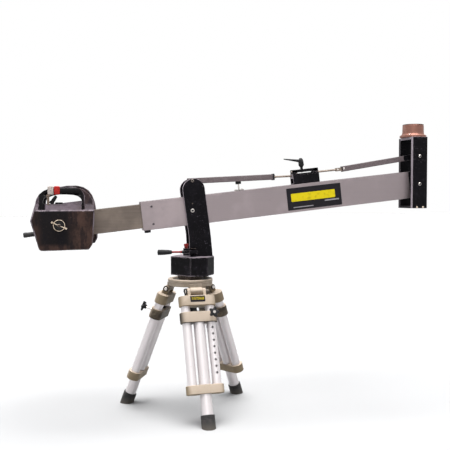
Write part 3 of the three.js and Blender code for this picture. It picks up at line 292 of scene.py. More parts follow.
class Finish:
    """A finish of the crane, put together node by node from the object's own coordinates, in metres."""

    def __init__(self, name, colour, roughness, metallic=0.0, specular=0.5):
        self.material = bpy.data.materials.new(name)
        self.material.use_nodes = True
        self.tree = self.material.node_tree
        self.shader = self.tree.nodes["Principled BSDF"]
        self.shader.inputs["Metallic"].default_value = metallic
        self.shader.inputs["Specular IOR Level"].default_value = specular
        self.place = self.add("ShaderNodeTexCoord").outputs["Object"]
        self.colour = self.rgb(colour)
        self.roughness = roughness
        self.height = None

    def add(self, kind, **settings):
        node = self.tree.nodes.new(kind)
        for key, value in settings.items():
            setattr(node, key, value)
        return node

    def link(self, source, target):
        """Feeds a socket from another one, or gives it a number or a colour."""
        if isinstance(source, (int, float)):
            target.default_value = source
        elif isinstance(source, tuple):
            target.default_value = (*source, 1.0)
        else:
            self.tree.links.new(source, target)

    def rgb(self, hexed):
        """A colour in linear light from its written form."""
        parts = [((hexed >> shift) & 255) / 255 for shift in (16, 8, 0)]
        return tuple(p / 12.92 if p <= 0.04045 else ((p + 0.055) / 1.055) ** 2.4 for p in parts)

    def stretched(self, scale, turn=(0, 0, 0)):
        mapping = self.add("ShaderNodeMapping")
        mapping.inputs["Scale"].default_value = scale
        mapping.inputs["Rotation"].default_value = turn
        self.link(self.place, mapping.inputs["Vector"])
        return mapping.outputs["Vector"]

    def noise(self, scale, detail=3.0, rough=0.55, vector=None):
        node = self.add("ShaderNodeTexNoise")
        node.inputs["Scale"].default_value = scale
        node.inputs["Detail"].default_value = detail
        node.inputs["Roughness"].default_value = rough
        self.link(vector if vector is not None else self.place, node.inputs["Vector"])
        return node.outputs["Fac"]

    def spread(self, value, low, high, out_low=0.0, out_high=1.0):
        """A soft step between two values, from one share to another."""
        node = self.add("ShaderNodeMapRange", interpolation_type="SMOOTHSTEP")
        for key, number in (("From Min", low), ("From Max", high), ("To Min", out_low), ("To Max", out_high)):
            node.inputs[key].default_value = number
        self.link(value, node.inputs["Value"])
        return node.outputs["Result"]

    def worked(self, operation, a, b=0):
        node = self.add("ShaderNodeMath", operation=operation)
        self.link(a, node.inputs[0])
        self.link(b, node.inputs[1])
        return node.outputs[0]

    def both(self, a, b):
        """Where two shares meet."""
        return self.worked("MULTIPLY", a, b)

    def either(self, a, b):
        """Where at least one of two shares lies."""
        return self.worked("MAXIMUM", a, b)

    def apart(self, value, middle):
        """How far a value lies from its middle, on both sides."""
        return self.worked("ABSOLUTE", self.worked("SUBTRACT", value, middle))

    def tint(self, share, colour):
        """Lays a colour over the ones before, where a share says."""
        node = self.add("ShaderNodeMix", data_type="RGBA")
        self.link(share, node.inputs["Factor"])
        self.link(self.colour, node.inputs[6])
        self.link(self.rgb(colour), node.inputs[7])
        self.colour = node.outputs[2]

    def rougher(self, share, value):
        node = self.add("ShaderNodeMix", data_type="FLOAT")
        self.link(share, node.inputs["Factor"])
        self.link(self.roughness, node.inputs[2])
        self.link(value, node.inputs[3])
        self.roughness = node.outputs[0]

    def raise_by(self, value, depth):
        scaled = self.both(value, depth)
        self.height = scaled if self.height is None else self.worked("ADD", self.height, scaled)

    def edges(self, width, low=0.02, high=0.2):
        """Where the surface turns sharply outward, as at a rubbed corner."""
        bevel = self.add("ShaderNodeBevel", samples=6)
        bevel.inputs["Radius"].default_value = width
        geometry = self.add("ShaderNodeNewGeometry")
        dot = self.add("ShaderNodeVectorMath", operation="DOT_PRODUCT")
        self.link(bevel.outputs[0], dot.inputs[0])
        self.link(geometry.outputs["Normal"], dot.inputs[1])
        return self.spread(self.worked("SUBTRACT", 1.0, dot.outputs["Value"]), low, high)

    def turned_to(self, direction, low, high, out_low=0.0, out_high=1.0):
        """How far the surface faces along a direction."""
        coordinate = self.add("ShaderNodeTexCoord")
        dot = self.add("ShaderNodeVectorMath", operation="DOT_PRODUCT")
        self.link(coordinate.outputs["Normal"], dot.inputs[0])
        dot.inputs[1].default_value = direction
        return self.spread(dot.outputs["Value"], low, high, out_low, out_high)

    def along(self, axis):
        split = self.add("ShaderNodeSeparateXYZ")
        self.link(self.place, split.inputs[0])
        return split.outputs[axis]

    def patches(self, colour, scale, detail, low, high, share, rough=0.55):
        """Cloudy patches of another colour."""
        self.tint(self.spread(self.noise(scale, detail, rough), low, high, 0, share), colour)

    def worn_edges(self, colour, width, scale, detail, low, high):
        """Rubbed corners, broken up so that they don't run on evenly."""
        self.tint(self.both(self.edges(width), self.spread(self.noise(scale, detail), low, high)), colour)

    def dull_patches(self, roughness, scale, low=0.4, high=0.7):
        self.rougher(self.spread(self.noise(scale, 3), low, high), roughness)

    def grain(self, scale, detail, depth):
        self.raise_by(self.noise(scale, detail), depth)

    def done(self):
        self.link(self.colour, self.shader.inputs["Base Color"])
        self.link(self.roughness, self.shader.inputs["Roughness"])
        if self.height is not None:
            bump = self.add("ShaderNodeBump")
            bump.inputs["Strength"].default_value = 1.0
            bump.inputs["Distance"].default_value = 1.0
            self.link(self.height, bump.inputs["Height"])
            self.link(bump.outputs[0], self.shader.inputs["Normal"])
        return self.material


def enamel(name, colour):
    """Beige enamel on a casting, patchy with grime, and lightened where it looks up as a painted highlight of
    the overhead light.
    """
    beige = Finish(name, colour, 0.5, 0.0, 0.25)
    beige.patches(0x6f6350, 38, 4, 0.42, 0.72, 0.5)
    # Faces that look up are lightened: a painted highlight of the overhead light.
    beige.tint(beige.turned_to((0, 0, 1), 0.12, 0.42), 0xaea091)
    beige.patches(0x857662, 14, 4, 0.46, 0.7, 0.4)
    beige.worn_edges(0x77716c, 0.0016, 160, 4, 0.5, 0.62)
    beige.dull_patches(0.62, 55)
    beige.grain(700, 3, 0.00012)
    beige.grain(90, 2, 0.00018)
    return beige.done()


knuckle_reach, knuckle_drop, knuckle_half = 96, -44, 26
ring_profile = [(62, -29), (91, -29), (93.4, -26), (93.4, -12.4), (92.6, -11.4), (95, -10.2), (95, -2.6),
                (93.6, 0), (86, 0), (85, -1.4), (79, -1.4), (77.5, 0), (76, 0), (62, -29)]
gusset_edge = [(-13, 0), (7.4, 0), (7.4, 10), (2, 15), (-1.4, 15), (-1.4, 29.3), (-13, 29.3)]
pin_profile = [(0, -45.3), (6.2, -45.3), (7.4, -44.2), (7.4, 44.2), (6.2, 45.3), (0, 45.3)]
nut_seat, nut_thickness = 39.5, 4.1
ring_parts = [turned(ring_profile, 96, 0.8)]
pin_parts, nut_parts = [], []
for azimuth in azimuths.values():
    barrel = rod(14, -knuckle_half, knuckle_half, 40, 1.6, "Y")
    gusset = slab(eased(gusset_edge, 1.5), -25.8, 25.8, ease=1.6, direction="Y")
    pin = turned(pin_profile, 32, 0.4, "Y")
    nuts = [slab(ring_of(12, 6), low, low + nut_thickness, [ring_of(7.5, 24)], ease=0.7, direction="Y")
            for low in (-nut_seat - nut_thickness, nut_seat)]
    for parts, meshes in ((ring_parts, (barrel, gusset)), (pin_parts, (pin,)), (nut_parts, nuts)):
        for mesh in meshes:
            moved(mesh, knuckle_reach, 0, knuckle_drop)
            parts.append(moved(mesh, turn=(azimuth, "Z")))

ring_enamel = enamel("ring_enamel", 0x94887a)
piece("crown_ring", "tripod", together(*ring_parts), crown_place, ring_enamel, ["tripod_ring"])

bright = Finish("bright_steel", 0xc9c4c0, 0.26, 1.0)
bright.patches(0x918a86, 120, 3, 0.45, 0.7, 0.6)
bright.dull_patches(0.42, 260)
bright.grain(900, 2, 0.00003)
bright_steel = bright.done()
piece("crown_hinge_pins", "tripod", together(*pin_parts), crown_place, bright_steel)

# Levelling ball: a turned aluminium ball with a dark coat that sits in the ring's bowl, with a threaded stud
# below. The disc that the mast pans on is screwed down on its neck and has a groove round its rim.
disc = Finish("dark_disc", 0x3b312b, 0.42, 0.6)
disc.patches(0x5b4d43, 70, 4, 0.45, 0.68, 0.7)
disc.worn_edges(0x9a8d82, 0.0012, 200, 3, 0.4, 0.6)
disc.dull_patches(0.6, 90)
disc.raise_by(disc.noise(1, 1, vector=disc.stretched((0, 0, 1600))), 0.00004)
dark_disc = disc.done()

stud_profile = [(0, -71), (7.4, -71), (8, -70), (8, -29), (61.6, -29)]
ball_profile = [(61.6 + 11.4 * (k / 6) ** 0.8, -29 + 24 * k / 6) for k in range(1, 7)]
disc_profile = [(66, -5), (50, -5), (50, 1.7), (54.2, 1.7), (55, 2.5), (55, 6.4), (53.6, 7.2), (53.6, 8.8),
                (55, 9.6), (55, 13.9), (54.2, 14.7), (20, 14.7), (20, 44.7), (0, 44.7)]
ball = turned(stud_profile + ball_profile + disc_profile, 96)
piece("levelling_ball_and_disc", "tripod", ball, crown_place, dark_disc, ["levelling_ball"])

# Tie-down knob: a ribbed black moulding on the ball's stud, under the ring. It is screwed up by hand to pull
# the ball into its seat. The black nuts on the crown's hinge pins are moulded of the same plastic.
black = Finish("black_moulding", 0x141416, 0.42, 0.0, 0.2)
black.patches(0x2b2a2c, 60, 4, 0.48, 0.72, 0.7)
black.worn_edges(0x6a666a, 0.0014, 110, 3, 0.42, 0.64)
black.dull_patches(0.62, 85, 0.4, 0.68)
black.grain(1400, 2, 0.00004)
black_moulding = black.done()
piece("crown_hinge_nuts", "tripod", together(*nut_parts), crown_place, black_moulding)

tie_profile = [(0, -151), (22, -151), (24.6, -149), (28.6, -139), (27.4, -134), (25.2, -90), (24.8, -72),
               (26.4, -66), (28.8, -59), (28.8, -49), (27, -47.2), (0, -47.2)]
tie_parts = [turned(tie_profile, 72, 1.0)]
for k in range(12):
    rib = moved(rod(2.6, -56.5, -49, 16, 0.8), 26.1, 0, 0)
    tie_parts.append(moved(rib, turn=(math.pi * k / 6, "Z")))
piece("tie_down_grip", "tie_knob", together(*tie_parts), crown_place, black_moulding, ["tie_down_knob"])

# Tripod legs: anodised aluminium tubes pressed into beige castings, with a moulded rubber boot on the foot.
# Each has two outer tubes, one of them drilled for the index pin, and a clamp casting that slides down them
# on the centre tube. In a leg's own frame X points out and Z up the leg.
silver = Finish("anodised_tube", 0xd0cbcc, 0.36, 0.6)
silver.patches(0xcdc6c7, 14, 3, 0.42, 0.7, 0.4)
silver.patches(0xa29a9b, 90, 4, 0.62, 0.74, 0.3, 0.6)
silver.dull_patches(0.48, 30)
silver.grain(900, 2, 0.00001)
anodised_tube = silver.done()

rubber = Finish("foot_rubber", 0x1b1b1c, 0.8)
rubber.patches(0x343030, 40, 4, 0.45, 0.7, 0.8)
rubber.tint(rubber.spread(rubber.along("Z"), 0.035, 0.0, 0, 0.6), 0x565049)
rubber.grain(650, 3, 0.0002)
foot_rubber = rubber.done()


def stadium(half, radius, steps=14):
    """The outline of a leg's casting: two half rounds with straight sides between them."""
    angles = [math.pi * k / steps for k in range(steps + 1)]
    right = [(radius * math.cos(angle), half + radius * math.sin(angle)) for angle in angles]
    return right + [(-x, -y) for x, y in right]


def oblong(left, right, low, high):
    return [(left, low), (right, low), (right, high), (left, high)]


def lobed(reaches, x=0.0):
    """An outline through points at these reaches, evenly spaced round its middle, such as a knob's."""
    turn = 2 * math.pi / len(reaches)
    return [(x + reach * math.cos(k * turn), reach * math.sin(k * turn)) for k, reach in enumerate(reaches)]


def drilled(mesh, drills):
    """Cuts holes through a mesh."""
    work = bpy.data.objects.new("work", mesh)
    tool = bpy.data.objects.new("tool", together(*drills))
    for holder in (work, tool):
        bpy.context.scene.collection.objects.link(holder)
    cutter = work.modifiers.new("cut", "BOOLEAN")
    cutter.operation = "DIFFERENCE"
    cutter.solver = "EXACT"
    cutter.object = tool
    graph = bpy.context.evaluated_depsgraph_get()
    result = bpy.data.meshes.new_from_object(work.evaluated_get(graph))
    bpy.data.objects.remove(work)
    bpy.data.objects.remove(tool)
    return result


def pipe(radius, wall, low, high, sides=48):
    """A round tube whose outer corners are broken at both ends."""
    bore = radius - wall
    return turned([(bore, low), (radius - 0.3, low), (radius, low + 0.3), (radius, high - 0.3),
                   (radius - 0.3, high), (bore, high), (bore, low)], sides)


vinyl = Finish("label_vinyl", 0x110e14, 0.4, 0.0, 0.2)
vinyl.patches(0x1d1922, 40, 4, 0.5, 0.72, 0.6)
vinyl.dull_patches(0.5, 60)
vinyl.grain(300, 2, 0.00003)
label_vinyl = vinyl.done()

ochre = Finish("leg_label_ink", 0x8e7f14, 0.55, 0.0, 0.1)
ochre.patches(0x4d4430, 160, 4, 0.42, 0.6, 0.8)
ochre.dull_patches(0.7, 60)
leg_label_ink = ochre.done()

# The leg castings wear the ring's beige enamel, drawn with darker base colours as painted shade; the clamps'
# is darkest.
hinge_enamel_shaded = enamel("hinge_enamel_shaded", 0x7d6f59)
clamp_enamel_shaded = enamel("clamp_enamel_shaded", 0x2f2820)
hinge_top, hinge_bottom = -22, -64
clamp_top, clamp_bottom = -89, -133
lower_top, lower_bottom = -380.2, -416.2
tube_half, tube_radius, tube_wall = 50.5, 18.5, 2
first_hole, hole_pitch = -103, 26
ear = [(-13, hinge_top - 3), *ring_of(13, 32)[16::-1], (13, hinge_top - 3)]
boss_profile = [(7.9, 0), (11, 0), (11, 1.6), (7.9, 1.6), (7.9, 0)]
centre_plug_profile = [(0, clamp_top - 0.5), (19, clamp_top - 0.5), (19, clamp_top + 2.6),
                       (17, clamp_top + 4), (0, clamp_top + 4.4)]
boot_profile = [(0, -576), (28, -576), (28, -515), (27, -513.6), (28, -512), (28, -509), (27, -507.6),
                (28, -506), (28, -503), (27, -501.6), (28, -500), (27.4, -497), (25.8, -495.8),
                (23.2, -495.8), (23.2, -507), (0, -507)]
star_lobes = lobed([18.6 + 3.7 * math.cos(math.pi * k / 9) for k in range(90)])
star_hub_profile = [(3.6, 50), (8.2, 50), (10.4, 58), (12, 68), (11, 69.6), (0, 69.6)]
star_cap_profile = [(0, 69), (5.8, 69), (5.8, 69.9), (5.0, 70), (0, 70)]
for side, azimuth in azimuths.items():
    leg_place = (Matrix.Translation(joint_at[f"{side}_leg_fold"]) @ Matrix.Rotation(azimuth, 4, "Z")
                 @ Matrix.Rotation(-splay, 4, "Y") @ millimetres)
    frame_body, slider_body, star_body = f"{side}_leg_frame", f"{side}_leg_slider", f"{side}_star"

    hinge_parts = [slab(stadium(tube_half, 26.3), hinge_bottom, hinge_top, ease=2.6)]
    for low, boss_at in ((-39.2, -39.2), (26.4, 39.2)):
        hinge_parts.append(slab(ear, low, low + 12.8, [ring_of(7.9)], ease=1.2, direction="Y"))
        hinge_parts.append(moved(turned(boss_profile, 40, 0.3, "Y"), 0, boss_at, 0))
    if side == "front":
        sheet = slab(eased(oblong(-33, 29, -50, -26), 1.5), 26.2, 26.8, ease=0.1, direction="X")
        piece("leg_label_sheet", frame_body, sheet, leg_place, label_vinyl)
        printed = slab(eased(oblong(-27, 25, -42, -30), 1.5), 26.7, 27.0, ease=0.08, direction="X")
        piece("leg_label_bar", frame_body, printed, leg_place, leg_label_ink)
    piece(f"{side}_hinge_casting", frame_body, together(*hinge_parts), leg_place, hinge_enamel_shaded,
          [f"{side}_leg_hinge_casting"])

    plain = pipe(tube_radius, tube_wall, lower_bottom + 8.3, hinge_top - 6.3)
    piece(f"{side}_plain_tube", frame_body, moved(plain, 0, -tube_half, 0), leg_place, anodised_tube,
          [f"{side}_leg_plain_tube"])
    holes = [moved(rod(4.5, 9, 20, direction="X"), 0, 0, first_hole - hole_pitch * k) for k in range(10)]
    index = drilled(pipe(tube_radius, tube_wall, lower_bottom + 8.3, hinge_top - 6.3), holes)
    piece(f"{side}_index_tube", frame_body, moved(index, 0, tube_half, 0), leg_place, anodised_tube,
          [f"{side}_leg_index_tube"])
    lower = slab(stadium(tube_half, 26.8), lower_bottom, lower_top, [ring_of(23.5)], ease=2.6)
    piece(f"{side}_lower_casting", frame_body, lower, leg_place, hinge_enamel_shaded, [f"{side}_leg_lower_casting"])

    guides = [ring_of(19, y=-tube_half), ring_of(19, y=tube_half)]
    clamp = slab(stadium(tube_half, 26.8), clamp_bottom, clamp_top, guides, ease=2.6)
    piece(f"{side}_clamp_casting", slider_body, clamp, leg_place, clamp_enamel_shaded, [f"{side}_leg_clamp_casting"])
    piece(f"{side}_centre_plug", slider_body, turned(centre_plug_profile, 40, 0.5), leg_place, black_moulding)
    centre = pipe(23, 2.5, -525.4, clamp_top - 10.3, 56)
    piece(f"{side}_centre_tube", slider_body, centre, leg_place, anodised_tube, [f"{side}_leg_centre_tube"])

    # The boot is sliced off level with the floor, where its sole has worn flat.
    boot = bmesh.new()
    boot.from_mesh(turned(boot_profile, 56))
    bmesh.ops.transform(boot, matrix=leg_place, verts=boot.verts)
    sliced = bmesh.ops.bisect_plane(boot, geom=boot.verts[:] + boot.edges[:] + boot.faces[:],
                                    plane_co=(0, 0, 0.00005), plane_no=(0, 0, 1), clear_inner=True)
    rim = [edge for edge in sliced["geom_cut"] if isinstance(edge, bmesh.types.BMEdge)]
    bmesh.ops.contextual_create(boot, geom=rim)
    bmesh.ops.recalc_face_normals(boot, faces=boot.faces)
    foot = bpy.data.meshes.new("foot")
    boot.to_mesh(foot)
    boot.free()
    piece(f"{side}_rubber_foot", slider_body, foot, Matrix.Identity(4), foot_rubber, [f"{side}_leg_foot"])

    star = together(slab(star_lobes, 60.2, 68.6, ease=3.2, direction="X"),
                    turned(star_hub_profile, 40, 0.8, "X"))
    stem = together(rod(3.7, 19.4, 58, 28, direction="X"), turned(star_cap_profile, 32, direction="X"))
    moved(star, 0, tube_half, first_hole)
    moved(stem, 0, tube_half, first_hole)
    piece(f"{side}_star_knob", star_body, star, leg_place, black_moulding, [f"{side}_leg_star_knob"])
    piece(f"{side}_star_stem", star_body, stem, leg_place, bright_steel)

# Pan block: a six-sided billet sawn from aluminium plate and painted black, worn to metal along its corners.
# The pale bands at its corners are partly that wear and partly a painted highlight, and its top faces carry a
# painted highlight of the overhead light mixed with wear. It turns on the disc, and the tongue that is
# screwed to its top stands between the two mast plates.
mast_place = Matrix.Translation(pivot) @ millimetres


def black_paint(name, colour, rub, cut=None, low=0.75, high=0.35, share=1.0):
    """Black paint on aluminium, scratched and chipped, rubbed through at its edges and thin or gone on the
    sawn faces, which are told by how they lie to `cut`."""
    paint = Finish(name, colour, 0.5, 0.0, 0.06)
    paint.patches(0x1b191e, 18, 5, 0.46, 0.72, 0.7, 0.6)
    scratches = paint.noise(1, 4, 0.7, paint.stretched((30, 30, 170), (0.0, 0.7, 0)))
    paint.tint(paint.spread(scratches, 0.63, 0.72, 0, 0.6), 0x4a454c)
    paint.patches(0x6c6670, 230, 3, 0.66, 0.72, 0.85, 0.6)
    if cut:
        across = paint.worked("ABSOLUTE", paint.turned_to(cut, -1, 1, -1, 1))
        patchy = paint.spread(paint.noise(26, 4, 0.65), 0.3, 0.55, 0.7 * share, share)
        paint.tint(paint.both(paint.spread(across, low, high), patchy), 0x9c939a)
    rubbed = paint.both(paint.edges(rub, 0.008, 0.1), paint.spread(paint.noise(48, 5, 0.7), 0.38, 0.54))
    paint.tint(rubbed, 0x9c939a)
    paint.dull_patches(0.6, 70)
    paint.grain(400, 3, 0.00004)
    return paint


worn_black = black_paint("worn_black_paint", 0x0e0d10, 0.0012).done()
billet = black_paint("billet_paint", 0x0b0a0c, 0.0085)
# Top faces lightened in patches: a painted highlight of the overhead light, mixed with wear.
billet.tint(billet.both(billet.turned_to((0, 0, 1), 0.5, 0.95),
                        billet.spread(billet.noise(60, 4), 0.3, 0.55, 0.5, 1)), 0x7f767d)
billet_black = billet.done()



def bar(x0, x1, y0, y1, z0, z1, ease=1.0):
    """A rectangular bar with eased edges."""
    shape = bmesh.new()
    bmesh.ops.create_cube(shape, size=1.0)
    bmesh.ops.scale(shape, verts=shape.verts, vec=(x1 - x0, y1 - y0, z1 - z0))
    bmesh.ops.translate(shape, verts=shape.verts, vec=((x0 + x1) / 2, (y0 + y1) / 2, (z0 + z1) / 2))
    bmesh.ops.bevel(shape, geom=list(shape.edges), offset=ease, segments=2, profile=0.6, affect="EDGES")
    mesh = bpy.data.meshes.new("bar")
    shape.to_mesh(mesh)
    shape.free()
    return mesh


block_corners = [(-18, -88.8), (54.6, -85.6), (95.5, -23.2), (72.2, 85.6), (-25.4, 88.8), (-86.3, 9.3)]
block = slab(eased(block_corners, 3.0, steps=3), -272, -193, ease=1.6)
tongue = bar(-6.8, 81.8, -31.1, 31.1, -200, -163.2, 1.2)
piece("pan_block_billet", "mast", together(block, tongue), mast_place, billet_black, ["pan_block"])

# Mast plates: two flat aluminium plates with round tops, sawn and milled, painted black and screwed to the
# block's tongue. Handling has rubbed their edges bright.
mast_inner, mast_outer, link_rise = 31.6, 41.6, 124.1
plate_edge = [(-11, -192.7), (86, -192.7), (78, -106)]
plate_edge += [*ring_of(47, 56, 6, 87)[:29], (-15, -106)]
mast_paint = black_paint("plate_paint", 0x0d0c0f, 0.0026, (0, 1, 0)).done()
for name, near, far in (("mast_plate_near", -mast_outer, -mast_inner),
                        ("mast_plate_far", mast_inner, mast_outer)):
    plate = slab(plate_edge, near, far, [ring_of(6.85), ring_of(4.35, y=link_rise)], ease=1.4, direction="Y")
    piece(name + "_slab", "mast", plate, mast_place, mast_paint, [name])

# Pivot bolts: bright steel shoulder bolts, turned, with a six-sided socket in the head. One goes through
# each mast plate into the boom's side, and the boom tilts on the two of them.
for name, way in (("near", -1), ("far", 1)):
    profile = [(0, 25.3), (6.2, 25.3), (6.5, 25.6), (6.5, 41.9), (8, 41.9), (8, 44), (7.2, 44.9), (5.0, 44.9),
               (4.6, 44.2), (4.4, 36), (0, 36)]
    # A black disc in the bottom of each bolt's socket stands for the shade in its depth: painted shade.
    socket_shade_disc = rod(4.5, way * 43.2, way * 40, 6, direction="Y")
    piece(f"pivot_socket_shade_{name}", "mast", socket_shade_disc, mast_place, black_moulding)
    bolt = turned([(r, way * h) for r, h in profile], 48, 0.15, "Y")
    piece(f"pivot_bolt_{name}", "mast", bolt, mast_place, bright_steel, [f"boom_pivot_bolt_{name}"])

# Mast link pin: a dull steel pin through both plates at the top of the mast, with a domed head and a socket
# at each end, and turned spacers beside the link's eye.
def headed_pin(radius, collar, eye, inner, outer, head, height):
    """A pin through two plates, with a domed head at each end and spacers beside the eye between them."""
    half = [(0, outer - 3), (head * 0.6, outer - 3), (head * 0.62, outer + height),
            (head * 0.78, outer + height), (head, outer + height * 0.45), (head, outer + 0.3),
            (radius, outer + 0.3), (radius, inner - 0.3), (collar, inner - 0.3), (collar, eye + 0.3),
            (radius, eye + 0.3)]
    back = [(r, -h) for r, h in half]
    return turned(half + back[::-1], 40, 0.25, "Y")


def pin_socket_shade(head, outer):
    """Black discs in the bottoms of the sockets in a pin's two heads: painted shade for the sockets' depth.
    """
    return together(*(rod(head * 0.59, way * (outer - 2.9), way * (outer + 1.2), direction="Y")
                      for way in (-1, 1)))


link_root = Matrix.Translation(joint_at["link_swing"])
link_pin_place = link_root @ millimetres
grey = Finish("worn_steel", 0x8a7f78, 0.5, 0.5)
grey.patches(0x5b524c, 150, 4, 0.42, 0.66, 0.7)
grey.dull_patches(0.6, 240)
grey.grain(800, 2, 0.00004)
worn_steel = grey.done()
piece("mast_link_pin", "mast", headed_pin(4, 8, 12, mast_inner, mast_outer, 6.5, 2.8), link_pin_place,
      worn_steel, ["link_pin_mast"])
# Black discs in the pin's sockets: painted shade.
piece("mast_link_socket_shade", "mast", pin_socket_shade(6.5, mast_outer), link_pin_place, black_moulding)

# Grub screw: a small dark steel screw in the near plate above the pivot, screwed in from the side until it
# is nearly flush. It locks the pivot bolt.
grub_profile = [(0, -41.2), (2.6, -41.2), (2.6, -41.9), (1.4, -42.0), (1.2, -41.5), (0, -41.5)]
grub = turned(grub_profile, 20, direction="Y")
piece("mast_plate_grub_screw", "mast", moved(grub, -0.5, 0, 29.6), mast_place, dark_disc)

# Pan brake: a forked hub milled from aluminium, painted black and screwed to the near plate, and a lever in
# its fork with a rod painted red and a moulded black grip. A red ribbed knob on the hub's pin sets the drag.
brake_place = Matrix.Translation(pivot + Vector((-0.030, -0.058, -0.171))) @ millimetres
hub_profile = [(0, -15), (13, -15), (13, -5.4), (9.4, -5.4), (9.4, 5.4), (13, 5.4), (13, 15), (0, 15)]
hub = turned(hub_profile, 48, 0.8)
upper_ear = bar(-2, 44, -9, 16.1, 5.6, 12)
lower_ear = bar(-2, 44, -9, 16.1, -12, -5.6)
bridge = bar(9.6, 44, -9, 16.1, -12, 12)
brake_pin = turned([(0, 14), (3, 14), (3, 22.6), (0, 23)], 24)
fork = together(hub, upper_ear, lower_ear, bridge, brake_pin)
piece("pan_brake_fork", "mast", fork, brake_place, worn_black, ["pan_brake_hub"])
washer = turned([(3.2, 15.0), (9.6, 15.0), (9.6, 15.28), (3.2, 15.28), (3.2, 15.0)], 40)
screw_profile = [(0, 12), (3.4, 12), (3.4, 13.6), (2.6, 14.4), (1.5, 14.4), (1.4, 13.2), (0, 13.2)]
brake_screws = [moved(turned(screw_profile, 24), x, 2.5, 0) for x in (24, 37)]
piece("pan_brake_washer_and_screws", "mast", together(washer, *brake_screws), brake_place, dark_disc)

red = Finish("red_enamel", 0x7c1512, 0.4, 0.0, 0.2)
red.patches(0x4e0e0c, 95, 4, 0.44, 0.7, 0.8)
red.worn_edges(0x9a8a86, 0.001, 210, 3, 0.45, 0.6)
red.dull_patches(0.55, 130)
red_enamel = red.done()
drag_lobes = lobed([9.9 - 0.9 * (0.5 - 0.5 * math.cos(math.pi * k / 4)) ** 2 for k in range(72)])
drag_crown = slab(drag_lobes, 22.3, 34.2, ease=1.6)
drag_skirt = turned([(0, 15.4), (7.6, 15.4), (8.2, 16.2), (7.0, 22.8), (0, 22.8)], 40, 0.3)
piece("pan_drag_crown", "drag_knob", together(drag_crown, drag_skirt), brake_place, red_enamel,
      ["pan_drag_knob"])

lever_eye = slab(ring_of(8.9, 40), -4.9, 4.9, [ring_of(3.35, 24)], ease=0.8)
grip_profile = [(0, -119.8), (6.0, -119.8), (10.2, -118.6), (11.4, -116), (11.4, -108), (10.9, -92),
                (9.4, -74), (8.0, -63), (6.4, -60.4), (0, -60.0)]
lever_grip = turned(grip_profile, 48, 0.6, "X")
lever_sleeve = turned([(0, -19), (5.4, -19), (6.4, -17.4), (6.4, -7), (0, -7)], 32, 0.3, "X")
piece("pan_lever_grip", "pan_lever", together(lever_eye, lever_grip, lever_sleeve), brake_place,
      black_moulding, ["pan_brake_lever"])
lever_rod = turned([(0, -61), (3.9, -61), (3.9, -25), (5.6, -24), (5.6, -19.3), (0, -19.3)], 32, 0.3, "X")
piece("pan_lever_rod", "pan_lever", lever_rod, brake_place, red_enamel)

# Boom: one extruded rectangular tube of aluminium, brushed along its length, dulled and handled. It hangs on
# the pivot bolts and is open at its tail, where the bar slides in.
elevation = math.radians(6.256)
boom_place = Matrix.Translation(pivot) @ Matrix.Rotation(-elevation, 4, "Y") @ millimetres

brushed = Finish("brushed_boom", 0x8f8587, 0.42, 0.85)
grain_map = (4, 420, 420)
tilt = (0, elevation, 0)
brushed_grain = brushed.noise(1, 4, 0.6, brushed.stretched(grain_map, tilt))
brushed.tint(brushed.spread(brushed_grain, 0.3, 0.75, 0, 0.4), 0x9d9193)
brushed.patches(0xa99c9e, 5, 4, 0.42, 0.7, 0.55, 0.6)
brushed.patches(0x8d8284, 32, 5, 0.58, 0.74, 0.5, 0.65)
# Faces that look up are darkened: painted shade against the overhead light.
brushed.tint(brushed.turned_to((0, 0, 1), 0.2, 0.75), 0x453e40)
brushed.rougher(brushed.spread(brushed_grain, 0.35, 0.7), 0.52)
brushed.raise_by(brushed_grain, 0.00003)
brushed_boom = brushed.done()


def tube_walls(width, height, wall, corner, x0, x1):
    """A square or rectangular tube along X."""
    across, up = width / 2, height / 2
    skin = eased(oblong(-across, across, -up, up), corner, steps=4)
    bore = oblong(wall - across, across - wall, wall - up, up - wall)
    return slab(skin, x0, x1, [bore], ease=0.35, direction="X")


boom_skin = tube_walls(60, 120, 5, 2.4, -211, 997.9)
piece("boom_extrusion", "boom", boom_skin, boom_place, brushed_boom, ["boom_tube"])

# Guide screws: two dark steel screws with sockets in the boom's near side, behind the mast. They hold the
# guide that the tail bar slides on.
def mirrored(mesh):
    """The same mesh on the near side."""
    mesh.transform(Matrix.Scale(-1, 4, (0, 1, 0)))
    mesh.flip_normals()
    return mesh


guide_profile = [(0, 29.6), (4.6, 29.6), (4.6, 31.2), (3.9, 31.9), (2.3, 31.9), (2.2, 30.6), (0, 30.6)]
guide_screws = [moved(turned(guide_profile, 28, direction="Y"), -167.4, 0, z) for z in (35.8, -37.2)]
piece("boom_guide_screws", "boom", mirrored(together(*guide_screws)), boom_place, worn_black)

# Label on the boom's near side: a black vinyl sheet with rounded corners, printed with plain yellow and grey
# bars and stuck flat on the tube.
yellow = Finish("label_yellow", 0xdcc812, 0.45, 0.0, 0.2)
yellow.patches(0xa8930f, 70, 4, 0.5, 0.74, 0.6)
yellow.dull_patches(0.55, 60)
label_yellow = yellow.done()
faint = Finish("label_grey", 0x8d8a8f, 0.45)
faint.patches(0x6c696e, 70, 4, 0.5, 0.74, 0.6)
faint.dull_patches(0.55, 60)
label_grey = faint.done()
label_sheet = slab(eased(oblong(419.3, 669, -50.2, 45.6), 3, steps=3), -30.6, -30.02, ease=0.08,
                   direction="Y")
piece("boom_label_sheet", "boom", label_sheet, boom_place, label_vinyl)
wide_bar = slab(eased(oblong(438, 640, -14, 21), 3, steps=3), -30.9, -30.55, ease=0.06, direction="Y")
piece("boom_label_bar", "boom", wide_bar, boom_place, label_yellow)
fine_bars = [slab(eased(corners, 1), -30.9, -30.55, ease=0.06, direction="Y")
             for corners in (oblong(590, 656, -26, -20), oblong(444, 536, -41, -37))]
piece("boom_label_fine_bars", "boom", together(*fine_bars), boom_place, label_grey)

